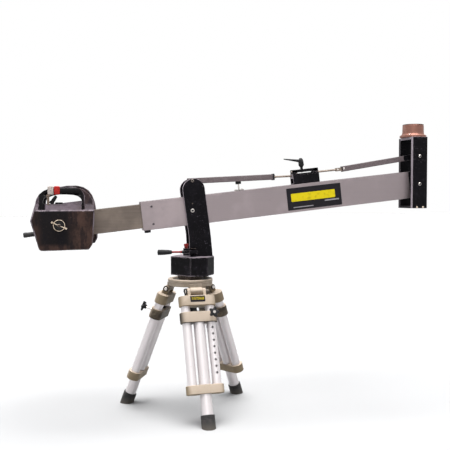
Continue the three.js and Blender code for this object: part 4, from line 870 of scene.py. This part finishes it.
# Front boss: a black plug machined from aluminium and pressed into the boom's mouth. Its nose is rounded
# about the head's axle, which runs through it.
boom_reach = 1028.9
nose = [(998.2, -60), (1008, -60)]
nose += [(boom_reach + x, y) for x, y in (ring_of(27)[36:] + ring_of(27)[:13])]
nose += [(1008, 60), (998.2, 60)]
boss = slab(nose, -30, 30, [ring_of(5.35, x=boom_reach)], ease=1.4, direction="Y")
plug = bar(938, 999, -24.6, 24.6, -54.6, 54.6)
piece("boom_front_boss", "boom", together(boss, plug), boom_place, worn_black, ["boom_end_boss"])

# Lock channel: a folded aluminium channel on top of the boom, painted black, screwed down and sawn square at
# both ends. The link's lock slides along in it.
slide_from, slide_to = 446, 566
shift = link_rise * math.sin(elevation)
channel = [(-22, 60.3), (22, 60.3), (22, 100), (18, 100), (18, 64.3), (-18, 64.3), (-18, 100), (-22, 100)]
bracket = slab(channel, slide_from + shift, slide_to + shift, ease=0.8, direction="X")
channel_paint = black_paint("channel_paint", 0x0e0d10, 0.0008, (1, 0, 0), 0.6, 0.9, 0.9).done()
piece("lock_channel", "boom", bracket, boom_place, channel_paint, ["lock_bracket"])

# Rest post: a black moulded cap on a short steel stud, under the link. Two screws hold its steel foot to the
# top of the boom.
post_x, post_y = 223, 20
post_screw_profile = [(0, 65), (3.6, 65), (3.6, 66.6), (2.8, 67.6), (1.6, 67.6), (1.5, 66.2), (0, 66.2)]
post_foot = [bar(post_x - 20, post_x + 20, 11.2, 28.8, 60.3, 65.3, 0.8),
             moved(rod(3.3, 65, 89), post_x, post_y, 0)]
post_foot += [moved(turned(post_screw_profile, 24), post_x + way * 14, post_y, 0) for way in (-1, 1)]
piece("link_rest_foot", "boom", together(*post_foot), boom_place, bright_steel)
post_cap = bar(post_x - 11.9, post_x + 11.9, 14.1, 25.9, 88.1, 101.9, 2.4)
piece("link_rest_cap", "boom", post_cap, boom_place, black_moulding, ["rest_post"])

# Clamp knob under the tail of the boom: a black knurled disc moulded on a steel screw, which presses on the
# tail bar through the boom's lower wall.
clamp_x = -192
knurl = lobed([12.5 if k % 4 in (0, 1) else 13.2 for k in range(120)], clamp_x)
clamp_cap = turned([(0, -72.2), (5, -72.2), (6, -71.2), (0, -71.2)], 32)
clamp_screw = rod(4.8, -61, -50.4, 28)
clamp_knob = together(slab(knurl, -71.6, -60.4, ease=1.2), moved(clamp_cap, clamp_x),
                      moved(clamp_screw, clamp_x))
piece("tail_clamp_disc", "clamp_knob", clamp_knob, boom_place, black_moulding, ["tail_clamp_knob"])

# Tail bar: a smaller extruded aluminium tube that slides in the boom and carries the balance weights, dull
# from weather and darkened on its top faces as painted shade. A plate closes its end.
bar_metal = Finish("weathered_bar_shaded_top", 0x6e645d, 0.5, 0.8)
bar_grain = bar_metal.noise(1, 4, 0.65, bar_metal.stretched((5, 300, 300), tilt))
bar_metal.tint(bar_metal.spread(bar_grain, 0.3, 0.75, 0, 0.55), 0x5f564f)
bar_metal.patches(0x867a70, 9, 4, 0.45, 0.7, 0.6)
# Faces that look up are darkened: painted shade.
bar_metal.tint(bar_metal.turned_to((0, 0, 1), 0.2, 0.75), 0x3c3631)
bar_metal.rougher(bar_metal.spread(bar_grain, 0.35, 0.7), 0.6)
bar_metal.raise_by(bar_grain, 0.00005)
weathered_bar_shaded_top = bar_metal.done()
bar_skin = tube_walls(49.4, 100, 4, 3, -600, -11)
end_cap = bar(-599.9, -595, -24.4, 24.4, -49.7, 49.7, 0.8)
piece("tail_bar_tube", "tail", together(bar_skin, end_cap), boom_place, weathered_bar_shaded_top, ["tail_bar"])

# Grip on the end of the tail bar: a black rubber sleeve with a rolled end, pushed on a stud that is screwed
# into the bar's end plate.
sleeve_profile = [(0, -690.3), (7.2, -690.3), (9.6, -689.2), (10.5, -687), (10.5, -676), (9.9, -674.6),
                  (9.9, -612), (10.5, -610), (10.5, -602), (9, -600.5), (0, -600.3)]
sleeve = turned(sleeve_profile, 48, 0.5, "X")
piece("tail_grip_sleeve", "tail", moved(sleeve, 0, 0, -21), boom_place, foot_rubber, ["tail_grip"])

# Balance weights: two blow-moulded black canisters with a hollow round each handle, filled to weigh the tail
# down. They are dusty brown over black, with grey painted highlights on their up-facing shoulders, along
# their ridge and on their rounded edges. The clean black of the handle follows an attribute that is kept on
# the mesh.
canister = Finish("dusty_canister_with_highlights", 0x141113, 0.6, 0.0, 0.1)
bolt_at = joint_at["wing_nut_turn"]
bolt_x, bolt_z = bolt_at.x, bolt_at.z
dust = canister.noise(11, 5, 0.65, canister.stretched((1.3, 1, 0.9)))
beside = canister.apart(canister.along("X"), bolt_x - 0.016)
outer = canister.either(canister.spread(beside, 0.04, 0.085),
                        canister.spread(canister.along("Z"), bolt_z - 0.068, bolt_z - 0.09))
outer = canister.both(outer, canister.spread(canister.along("X"), bolt_x - 0.04, bolt_x + 0.04, 0.85, 1))
canister.tint(canister.both(outer, canister.spread(dust, 0.36, 0.58, 0.25, 1)), 0x47352f)
canister.patches(0x100e11, 7, 4, 0.5, 0.66, 0.6, 0.6)
bands = canister.noise(1, 4, 0.6, canister.stretched((34, 34, 9)))
canister.tint(canister.spread(bands, 0.5, 0.6, 0, 0.65), 0x121015)
canister.patches(0x5a4a44, 150, 4, 0.6, 0.72, 0.5, 0.65)
# Up-facing faces get grey streaks: a painted highlight of the overhead light.
shoulder_highlight_streaks = canister.spread(canister.noise(1, 4, 0.65, canister.stretched((26, 60, 150))), 0.38, 0.62, 0.25, 1)
canister.tint(canister.both(canister.turned_to((0, 0, 1), 0.15, 0.7), shoulder_highlight_streaks), 0x3d363c)
# The shoulder above the ridge is lightened grey: a painted highlight.
above_ridge = canister.spread(canister.along("Z"), bolt_z + 0.056, bolt_z + 0.066)
above_ridge = canister.both(above_ridge, canister.spread(beside, 0.1, 0.055, 0.25, 1))
canister.tint(canister.both(above_ridge, canister.spread(canister.noise(40, 4, 0.6), 0.3, 0.6, 0.35, 0.9)),
              0x584e56)
# A grey line along the ridge: a painted highlight.
from_ridge = canister.apart(canister.along("Z"), bolt_z + 0.0585)
ridge = canister.both(canister.spread(from_ridge, 0.0042, 0.0012),
                      canister.spread(canister.noise(50, 4, 0.65), 0.32, 0.62, 0.1, 0.75))
# Grey along the rounded edges of the faces: a painted highlight.
lean = canister.worked("ABSOLUTE", canister.turned_to((0, 1, 0), -1, 1, -1, 1))
rounding = canister.both(canister.spread(lean, 0.15, 0.45), canister.spread(lean, 0.985, 0.88))
rounding = canister.both(rounding, canister.turned_to((0, 0, 1), 0.5, 0.3))
rounding = canister.both(rounding,
                         canister.spread(canister.along("Z"), bolt_z - 0.085, bolt_z - 0.03, 0.1, 1))
rim_highlight = canister.both(rounding, canister.spread(canister.noise(30, 4, 0.65), 0.3, 0.55, 0.15, 0.9))
canister.tint(canister.either(ridge, rim_highlight), 0x857b83)
grip_share = canister.add("ShaderNodeAttribute", attribute_name="grip").outputs["Fac"]
canister.tint(grip_share, 0x0f0e10)
canister.rougher(canister.spread(dust, 0.4, 0.7), 0.72)
canister.rougher(grip_share, 0.34)
canister.raise_by(canister.noise(240, 4, 0.7), 0.00022)
canister.grain(26, 3, 0.0009)
dusty_canister_with_highlights = canister.done()


def soft(value, low, high):
    """A smooth step from 0 to 1 between two values."""
    share = min(1.0, max(0.0, (value - low) / (high - low)))
    return share * share * (3 - 2 * share)


can_half, can_round = 46.5, 13.0
hollow_x, hollow_z, hollow_half_x, hollow_half_z = 10, 105, 90, 48
can_outline = [Vector(point)
               for point in ((-92.4, 76.5), (-110, 18.4), (-75.9, -100), (113.7, -97), (127.4, -78),
                             (131.5, -50), (137, 36.7), (139.7, 111.7))]
can_sides = []
for start, end in zip(can_outline, can_outline[1:]):
    along = (end - start).normalized()
    can_sides.append((start, Vector((along.y, -along.x))))
heel, heel_round = can_outline[2], 15.0
up_heel = (can_outline[1] - heel).normalized()
along_heel = (can_outline[3] - heel).normalized()
heel_half = up_heel.angle(along_heel) / 2
heel_centre = heel + (up_heel + along_heel).normalized() * heel_round / math.sin(heel_half)
heel_reach = heel_round / math.tan(heel_half)


def drawn_in(x, z, side):
    """A point of the canister's body, drawn in to the round of its heel and of its faces' edges."""
    spot = Vector((x, z))
    in_heel = (spot - heel).dot(up_heel) < heel_reach and (spot - heel).dot(along_heel) < heel_reach
    if in_heel:
        outwards = (spot - heel_centre).normalized()
        depth = heel_round - (spot - heel_centre).length
    else:
        depth, outwards = min(((start - spot).dot(normal), normal[:]) for start, normal in can_sides)
        outwards = Vector(outwards)
    if in_heel and depth < 0:
        spot += outwards * depth
        depth = 0
    inwards = can_round - depth
    past = abs(side) - (can_half - can_round)
    if inwards > 0 and past > 0 and math.hypot(inwards, past) > can_round:
        kept = can_round / math.hypot(inwards, past)
        spot -= outwards * inwards * (1 - kept)
        side = math.copysign(can_half - can_round + past * kept, side)
    return spot.x, spot.y, side


for name, turn, shift in (("balance_weight_near", 0.0, 0.0), ("balance_weight_far", math.radians(7), 18.0)):
    blank = bpy.data.objects.new("blank", frame["nodes"][name].data.copy())
    bpy.context.scene.collection.objects.link(blank)
    remesh = blank.modifiers.new("even", "REMESH")
    remesh.mode = "VOXEL"
    remesh.voxel_size = 0.0026
    ease = blank.modifiers.new("ease", "SMOOTH")
    ease.factor = 0.5
    ease.iterations = 8
    graph = bpy.context.evaluated_depsgraph_get()
    body = bpy.data.meshes.new_from_object(blank.evaluated_get(graph))
    bpy.data.objects.remove(blank)
    grip = body.attributes.new("grip", "FLOAT", "POINT")
    middle = (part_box(name)[0][1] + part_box(name)[1][1]) / 2
    upright = Matrix.Rotation(turn, 4, "Y")
    for vertex in body.vertices:
        local = upright @ (vertex.co - bolt_at) * 1000
        x, z, rounded_side = drawn_in(local.x - shift, local.z, (vertex.co.y - middle) * 1000)
        local.x, local.z = x + shift, z
        vertex.co = bolt_at + upright.transposed() @ local / 1000
        # Within the rounded frame round its hollow, the moulding is thinner and its top bar is round.
        corner = 42 if z > hollow_z else 9
        across = abs(x - hollow_x) - (hollow_half_x - corner)
        up = abs(z - hollow_z) - (hollow_half_z - corner)
        outside = math.hypot(max(across, 0), max(up, 0)) + min(max(across, up), 0) - corner
        under = soft(85 - z, -1, 3) * soft(min(x + 52, 88 - x), -4, 4)
        share = soft(-outside, -1.5, 2.5) * (1 - under)
        side = rounded_side / 1000
        limit = 0.0172 + 0.04 * (1 - share)
        side = max(-limit, min(limit, side))
        bar_share = share * soft(z, 114, 122) * soft(min(x + 70, 96 - x), 0, 30)
        side *= 1 - bar_share * (1 - math.sqrt(max(0.08, 1 - ((z - 137) / 17.5) ** 2)))
        vertex.co.y = middle + side
        grip.data[vertex.index].value = share * soft(-outside, 1.5, 6.5)
    piece(name.replace("balance_weight", "canister"), "tail", body, Matrix.Identity(4), dusty_canister_with_highlights,
          [name], crease=80)

# Marking tapes: one turn of white and one of red cloth tape round the near canister's handle. A clip on a
# strap hangs from them, and behind it are the canister's filler cap and its black spout.
bolt_place = Matrix.Translation(bolt_at) @ millimetres


def band(x0, x1, material, name):
    """A turn of tape round the near handle."""
    strip = bar(x0, x1, -94.3, -48.7, 120.2, 153.8, 5.0)
    piece(name, "tail", strip, bolt_place, material)


cloth_white = Finish("white_tape", 0xb9b0aa, 0.75, 0.0, 0.2)
cloth_white.patches(0x8f857e, 80, 4, 0.5, 0.72, 0.7)
cloth_white.grain(900, 2, 0.00008)
cloth_red = Finish("red_tape", 0xa82420, 0.65, 0.0, 0.2)
cloth_red.patches(0x6e1614, 90, 4, 0.48, 0.72, 0.7)
cloth_red.grain(900, 2, 0.00008)
band(-43, -20, cloth_white.done(), "canister_tape_white")
band(-19, 4, cloth_red.done(), "canister_tape_red")

plated = Finish("dull_plating", 0xdccbb7, 0.34, 0.7)
plated.patches(0x8a7966, 140, 4, 0.45, 0.68, 0.7)
plated.dull_patches(0.48, 220)
plated.grain(700, 3, 0.00004)
dull_plating = plated.done()
strap = Finish("clip_strap", 0x77675a, 0.5, 0.3)
strap.patches(0x4a3e36, 130, 4, 0.42, 0.62, 0.8)
strap.dull_patches(0.7, 220)
strap.grain(500, 3, 0.00008)
clip_strap = strap.done()
clip = together(bar(-45.5, -36, -97, -93.4, 80, 121, 1.2), bar(-44.5, -40, -98.2, -96, 82, 106),
                bar(-47.5, -34, -98.4, -93, 112, 119, 1.4))
piece("canister_clip", "tail", clip, bolt_place, clip_strap)
spout = turned([(0, 0), (9.4, 0), (9.4, 8), (7.6, 11), (7.2, 24), (5.6, 36), (4.6, 37.6), (0, 38)], 32, 0.8)
spout.transform(Matrix.Translation((-31, -71.5, 84)) @ Matrix.Rotation(math.radians(34), 4, "Y"))
filler = moved(turned([(0, 80), (15, 80), (15, 88), (13, 90), (0, 90)], 40, 0.8), 0, -71.5, 0)
piece("canister_spout", "tail", together(spout, filler), bolt_place, black_moulding)

# Cross bolt: a plated steel bolt through the tail bar and both canisters, with a hexagon head behind the far
# one. The dark end of its thread stands out of the wing nut.
shank = rod(6, -126.4, 126.5, 32, 0.2, "Y")
bolt_head = slab(ring_of(11.6, 6), 118.3, 126.2, ease=0.8, direction="Y")
piece("canister_cross_bolt", "tail", together(shank, bolt_head), bolt_place, dull_plating,
      ["weight_cross_bolt"])
thread = [(0, -138.3), (4.6, -138.3)]
for k in range(7):
    thread += [(5.9, -137.2 + 1.5 * k), (5.2, -136.5 + 1.5 * k)]
thread += [(5.2, -126.5), (0, -126.5)]
piece("canister_bolt_thread", "tail", turned(thread, 32, direction="Y"), bolt_place, dark_disc)

# Wing nut: a cast and plated ring with a cross bar, a hub and two turned-up ears, screwed up by hand against
# the near canister. A black cup lies behind it.
wing_turn = math.radians(-24)
nut = [slab(ring_of(23, 64), 1.6, 9.0, [ring_of(20.2, 64)], ease=1.3),
       bar(6.6, 24, -1.6, 1.6, 4.4, 9.4, 0.8), bar(-24, -6.6, -1.6, 1.6, 4.4, 9.4, 0.8),
       bar(-13, 13, -1.5, 1.5, 11.8, 14.4, 0.6)]
for way in (-1, 1):
    ear = [(22, 4.2), (29, 4.2), (33, 9), (33, 17), (30.5, 19.8), (27, 19.8), (24.6, 15), (22, 10)]
    nut.append(slab(eased([(way * x, z) for x, z in ear][::way], 1.6), -3.4, 3.4, ease=1.2, direction="Y"))
wing = together(*nut)
wing.transform(Matrix.Rotation(wing_turn, 4, "Z"))
wing.transform(Matrix.Translation((0, -118.3, 0)) @ Matrix.Rotation(math.pi / 2, 4, "X"))
cup_profile = [(6.4, -118.4), (20.0, -118.4), (20.0, -122.6), (13.6, -124), (12.4, -130.6), (6.4, -130.6),
               (6.4, -118.4)]
backing = turned(cup_profile, 48, 0.3, "Y")
piece("canister_wing_backing", "wing_nut", backing, bolt_place, black_moulding)
piece("canister_wing_nut", "wing_nut", wing, bolt_place, dull_plating, ["weight_wing_nut"])

# Upper link: square aluminium tubes painted a dull grey and drawn steel rods, which keep the camera head
# upright. Its rear tube hangs on the mast's pin and ends in a black socket that holds the rear rod.
link_drop = 19.6
link_place = link_root @ Matrix.Rotation(-elevation, 4, "Y") @ millimetres
link_paint = Finish("link_grey", 0x6f6466, 0.5, 0.4, 0.3)
link_grain = link_paint.noise(1, 4, 0.6, link_paint.stretched((10, 260, 260), tilt))
link_paint.tint(link_paint.spread(link_grain, 0.35, 0.75, 0, 0.45), 0x51484b)
link_paint.patches(0x7d7376, 22, 4, 0.5, 0.7, 0.5)
# Faces that look up are darkened: painted shade.
link_paint.tint(link_paint.turned_to((0, 0, 1), 0.2, 0.8), 0x3a3335)
link_paint.worn_edges(0x857b7e, 0.0012, 70, 3, 0.45, 0.6)
link_paint.dull_patches(0.58, 60)
link_grey = link_paint.done()

rear_angle = math.atan2(25.7, slide_from)
rear_place = link_place @ Matrix.Rotation(rear_angle, 4, "Y")
piece("link_rear_square", "link", tube_walls(24, 24, 2, 3, -14, 358), rear_place, link_grey,
      ["link_rear_tube"])
rear_end = slide_from / math.cos(rear_angle) + 12
drawn = Finish("drawn_rod", 0x8f8177, 0.42, 0.7)
drawn.patches(0x6b5f57, 120, 4, 0.45, 0.68, 0.6)
# Faces that look up are darkened: painted shade, so the rods' tops don't burn out white.
drawn.tint(drawn.turned_to((0, 0, 1), 0.3, 0.85), 0x4f463f)
drawn.dull_patches(0.52, 240)
drawn.grain(800, 2, 0.00003)
rod_steel = drawn.done()
socket = bar(358.3, 366.3, -14, 14, -14, 14, 1.6)
rear_plug = bar(345, 358.4, -9.6, 9.6, -9.6, 9.6, 0.5)
piece("link_rear_socket", "link", together(socket, rear_plug), rear_place, black_moulding)
rear_steel = rod(4.25, 358, rear_end - 0.3, 32, direction="X")
rear_nut = slab(ring_of(7.2, 6), 367, 373, [ring_of(4.3, 24)], ease=0.5, direction="X")
piece("link_rear_steel", "link", together(rear_steel, rear_nut), rear_place, rod_steel, ["link_rear_rod"])

# Link lock: a black carriage milled from aluminium that slides in the channel, with four screws in its side
# and one in its end. A clamping lever of black plastic on top holds it.
slide = bar(slide_from, slide_to, -17.7, 17.7, -38.4, -17.2)
piece("link_lock_slide", "link", slide, link_place, channel_paint)
yoke = together(bar(447, 470, -15, 15, -24, -0.4), bar(542, 566, -15, 15, -24, -0.4),
                bar(447, 565, -15, 15, -13.4, -0.4))
piece("link_lock_carriage", "link", yoke, link_place, worn_black, ["link_lock_yoke"])
end_screw_profile = [(0, 442.6), (2.2, 442.6), (2.4, 443.8), (4.6, 443.8), (5, 446), (5, 448), (0, 448)]
side_screw_profile = [(0, 14.6), (2.6, 14.6), (2.6, 15.6), (1.4, 15.8), (1.2, 15.2), (0, 15.2)]
lock_screws = [moved(turned(end_screw_profile, 24, direction="X"), 0, -9, -8)]
for x in (466.3, 560.4):
    for z, seat_out in ((-17.4, 0), (-33.4, -2.7)):
        lock_screws.append(moved(mirrored(turned(side_screw_profile, 20, direction="Y")), x, seat_out, z))
piece("link_lock_screws", "link", together(*lock_screws), link_place, worn_steel)

lever_hub = turned([(0, -14), (4, -14), (4, 0.3), (6, 0.3), (6, 8), (12, 17), (11.4, 33), (9.4, 42),
                    (5, 48.4), (0, 49)], 40, 0.8)
arm_profile = [(0, 0), (6.4, -2), (6.2, -12), (4.6, -34), (3.2, -58), (2.4, -74), (2.0, -78.6), (0, -79.8)]
lever_arm = turned(arm_profile, 28, 0.5, "X")
lever_arm.transform(Matrix.Translation((0, 0, 35)) @ Matrix.Rotation(math.radians(12), 4, "Y"))
lever = moved(together(lever_hub, lever_arm), 495.5, 0, -0.4)
piece("link_clamp_lever", "lock_lever", lever, link_place, black_moulding, ["link_lock_lever"])

# Front half of the link: a rod from the lock, a steel fork with bright screws, and the longer square tube.
# Its eye hangs on the head's pin between two black cheeks.
front_rise = math.atan2(link_drop, 347.9)
front_place = link_place @ Matrix.Translation((681, 0, -link_drop)) @ Matrix.Rotation(-front_rise, 4, "Y")
front_steel = rod(4.25, 554.3, 655, 32, direction="X")
front_nut = slab(ring_of(7.2, 6), 566.5, 572.5, [ring_of(4.3, 24)], ease=0.5, direction="X")
front_fork = bar(652, 680.7, -7.5, 7.5, -7.5, 7.5, 1.4)
front_rod = moved(together(front_steel, front_nut, front_fork), 0, 0, -link_drop)
piece("link_front_steel", "link", front_rod, link_place, rod_steel, ["link_front_rod"])
piece("link_front_square", "link", tube_walls(24, 24, 2, 3, 0, 362.4), front_place, link_grey,
      ["link_front_tube"])
cheek_edge = eased(oblong(297, 362, -12.1, 12.1), 6, steps=4)
eye_cheeks = [slab(cheek_edge, low, low + 0.26, [ring_of(4.35, x=348.4)], ease=0.05, direction="Y")
              for low in (-12.28, 12.02)]
piece("link_front_eye", "link", together(*eye_cheeks), front_place, worn_black)
fork_screws = []
for x, seat_at in ((-20, 7.3), (7, 11.8)):
    screw_heights = [(0, 0), (3.6, 0), (3.6, 1.2), (2.8, 1.8), (1.6, 1.8), (1.4, 0.6), (0, 0.6)]
    screw = turned([(radius, seat_at + height) for radius, height in screw_heights], 24, direction="Y")
    fork_screws.append(moved(mirrored(screw), x))
piece("link_fork_screws", "link", together(*fork_screws), front_place, bright_steel)

# Camera head: two thick aluminium side plates with cross plates screwed between them, all painted black. The
# boom's axle and the link's pin run through both side plates, and the link keeps the head upright.
head_inner, head_outer, head_low, head_high = 50.9, 67.9, -108, 210.6
head_place = Matrix.Translation(joint_at["head_level"]) @ millimetres
head_edge = eased(oblong(-34.5, 36.3, head_low, head_high), 2.0, steps=3)
far_paint = black_paint("far_plate_paint", 0x0d0c0f, 0.0012, (0, 1, 0), share=0.12).done()
for name, near, far, paint in (("head_plate_near", -head_outer, -head_inner, mast_paint),
                               ("head_plate_far", head_inner, head_outer, far_paint)):
    plate = slab(head_edge, near, far, [ring_of(5.35), ring_of(4.35, y=link_rise)], ease=1.2, direction="Y")
    piece(name + "_slab", "head", plate, head_place, paint, [name])
cross_paint = black_paint("cross_plate_paint", 0x0d0c0f, 0.0018, (0, 0, 1)).done()
for name, low, paint in (("head_top_plate", head_high - 10, cross_paint),
                         ("head_bottom_plate", head_low, worn_black)):
    cross_plate = bar(-34.5, 36.3, -50.6, 50.6, low, low + 10)
    piece(name + "_slab", "head", cross_plate, head_place, paint, [name])

head_screw_profile = [(0, 67.6), (4.2, 67.6), (4.2, 68.6), (3.4, 69.4), (1.9, 69.4), (1.8, 68.2), (0, 68.2)]
head_screws = []
for x in (-12.4, 16.9):
    near_screw = mirrored(turned(head_screw_profile, 24, direction="Y"))
    far_screw = turned(head_screw_profile, 24, direction="Y")
    head_screws += [moved(near_screw, x, 0, -102.9), moved(far_screw, x, 0, -102.9)]
piece("head_plate_screws", "head", together(*head_screws), head_place, dull_plating)

head_pin_place = head_place @ Matrix.Translation((0, 0, link_rise))
head_axle = headed_pin(5, 13, 30, head_inner, head_outer, 7, 3)
piece("head_axle_rod", "head", head_axle, head_place, bright_steel, ["head_axle"])
head_pin = headed_pin(4, 9, 12, head_inner, head_outer, 6.5, 2.8)
piece("head_link_pin", "head", head_pin, head_pin_place, bright_steel, ["link_pin_head"])
# Black discs in the pins' sockets: painted shade.
piece("head_axle_socket_shade", "head", pin_socket_shade(7, head_outer), head_place, black_moulding)
piece("head_link_socket_shade", "head", pin_socket_shade(6.5, head_outer), head_pin_place, black_moulding)

# Camera bowl: a turned aluminium seat, anodised brown, that takes the camera's levelling ball. Four screws
# hold its flange to the head's top plate.
head_at = joint_at["head_level"]
copper = Finish("brown_anodised", 0x896155, 0.42, 0.8)
copper_lines = copper.noise(1, 3, 0.6, copper.stretched((3, 3, 900)))
copper.tint(copper.spread(copper_lines, 0.35, 0.7, 0, 0.5), 0x7d564c)
copper.patches(0xb08a80, 28, 4, 0.5, 0.72, 0.6)
# The top of the rim is darkened: painted shade over the rim's highlight.
copper.tint(copper.spread(copper.along("Z"), head_at.z + 0.2662, head_at.z + 0.268), 0x3f2a24)
copper.rougher(copper.spread(copper_lines, 0.4, 0.7), 0.5)
copper.raise_by(copper_lines, 0.00004)
brown_anodised = copper.done()
seat_radius, throat, bowl_height = 37.5, 16, 59
seat_angles = [math.acos(throat / seat_radius) * k / 14 for k in range(15)]
seat = [(seat_radius * math.cos(angle), bowl_height - seat_radius * math.sin(angle)) for angle in seat_angles]
bowl_profile = [(throat, 0), (58.2, 0), (59, 0.8), (59, 8.2), (58, 9.4), (54.2, 10.6), (51.4, 12.8),
                (49.4, 16), (48.2, 20.5), (47.5, 26), (46.8, 54), (46, 55), (46, 56.4), (46.8, 57.4),
                (46.4, 58.4), (45.6, bowl_height), (38.2, bowl_height), *seat, (throat, 0)]
bowl_place = head_place @ Matrix.Translation((0.9, 0, 210.9))
piece("camera_bowl_seat", "head", turned(bowl_profile, 96), bowl_place, brown_anodised, ["camera_bowl"])
flange_profile = [(0, 10.8), (3.6, 10.8), (3.6, 13), (2.8, 13.8), (1.7, 13.8), (1.6, 12.2), (0, 12.2)]
flange_screws = [moved(turned(flange_profile, 24), x, y) for x, y in ring_of(53, 8)[1::2]]
piece("camera_bowl_screws", "head", together(*flange_screws), bowl_place, bright_steel)
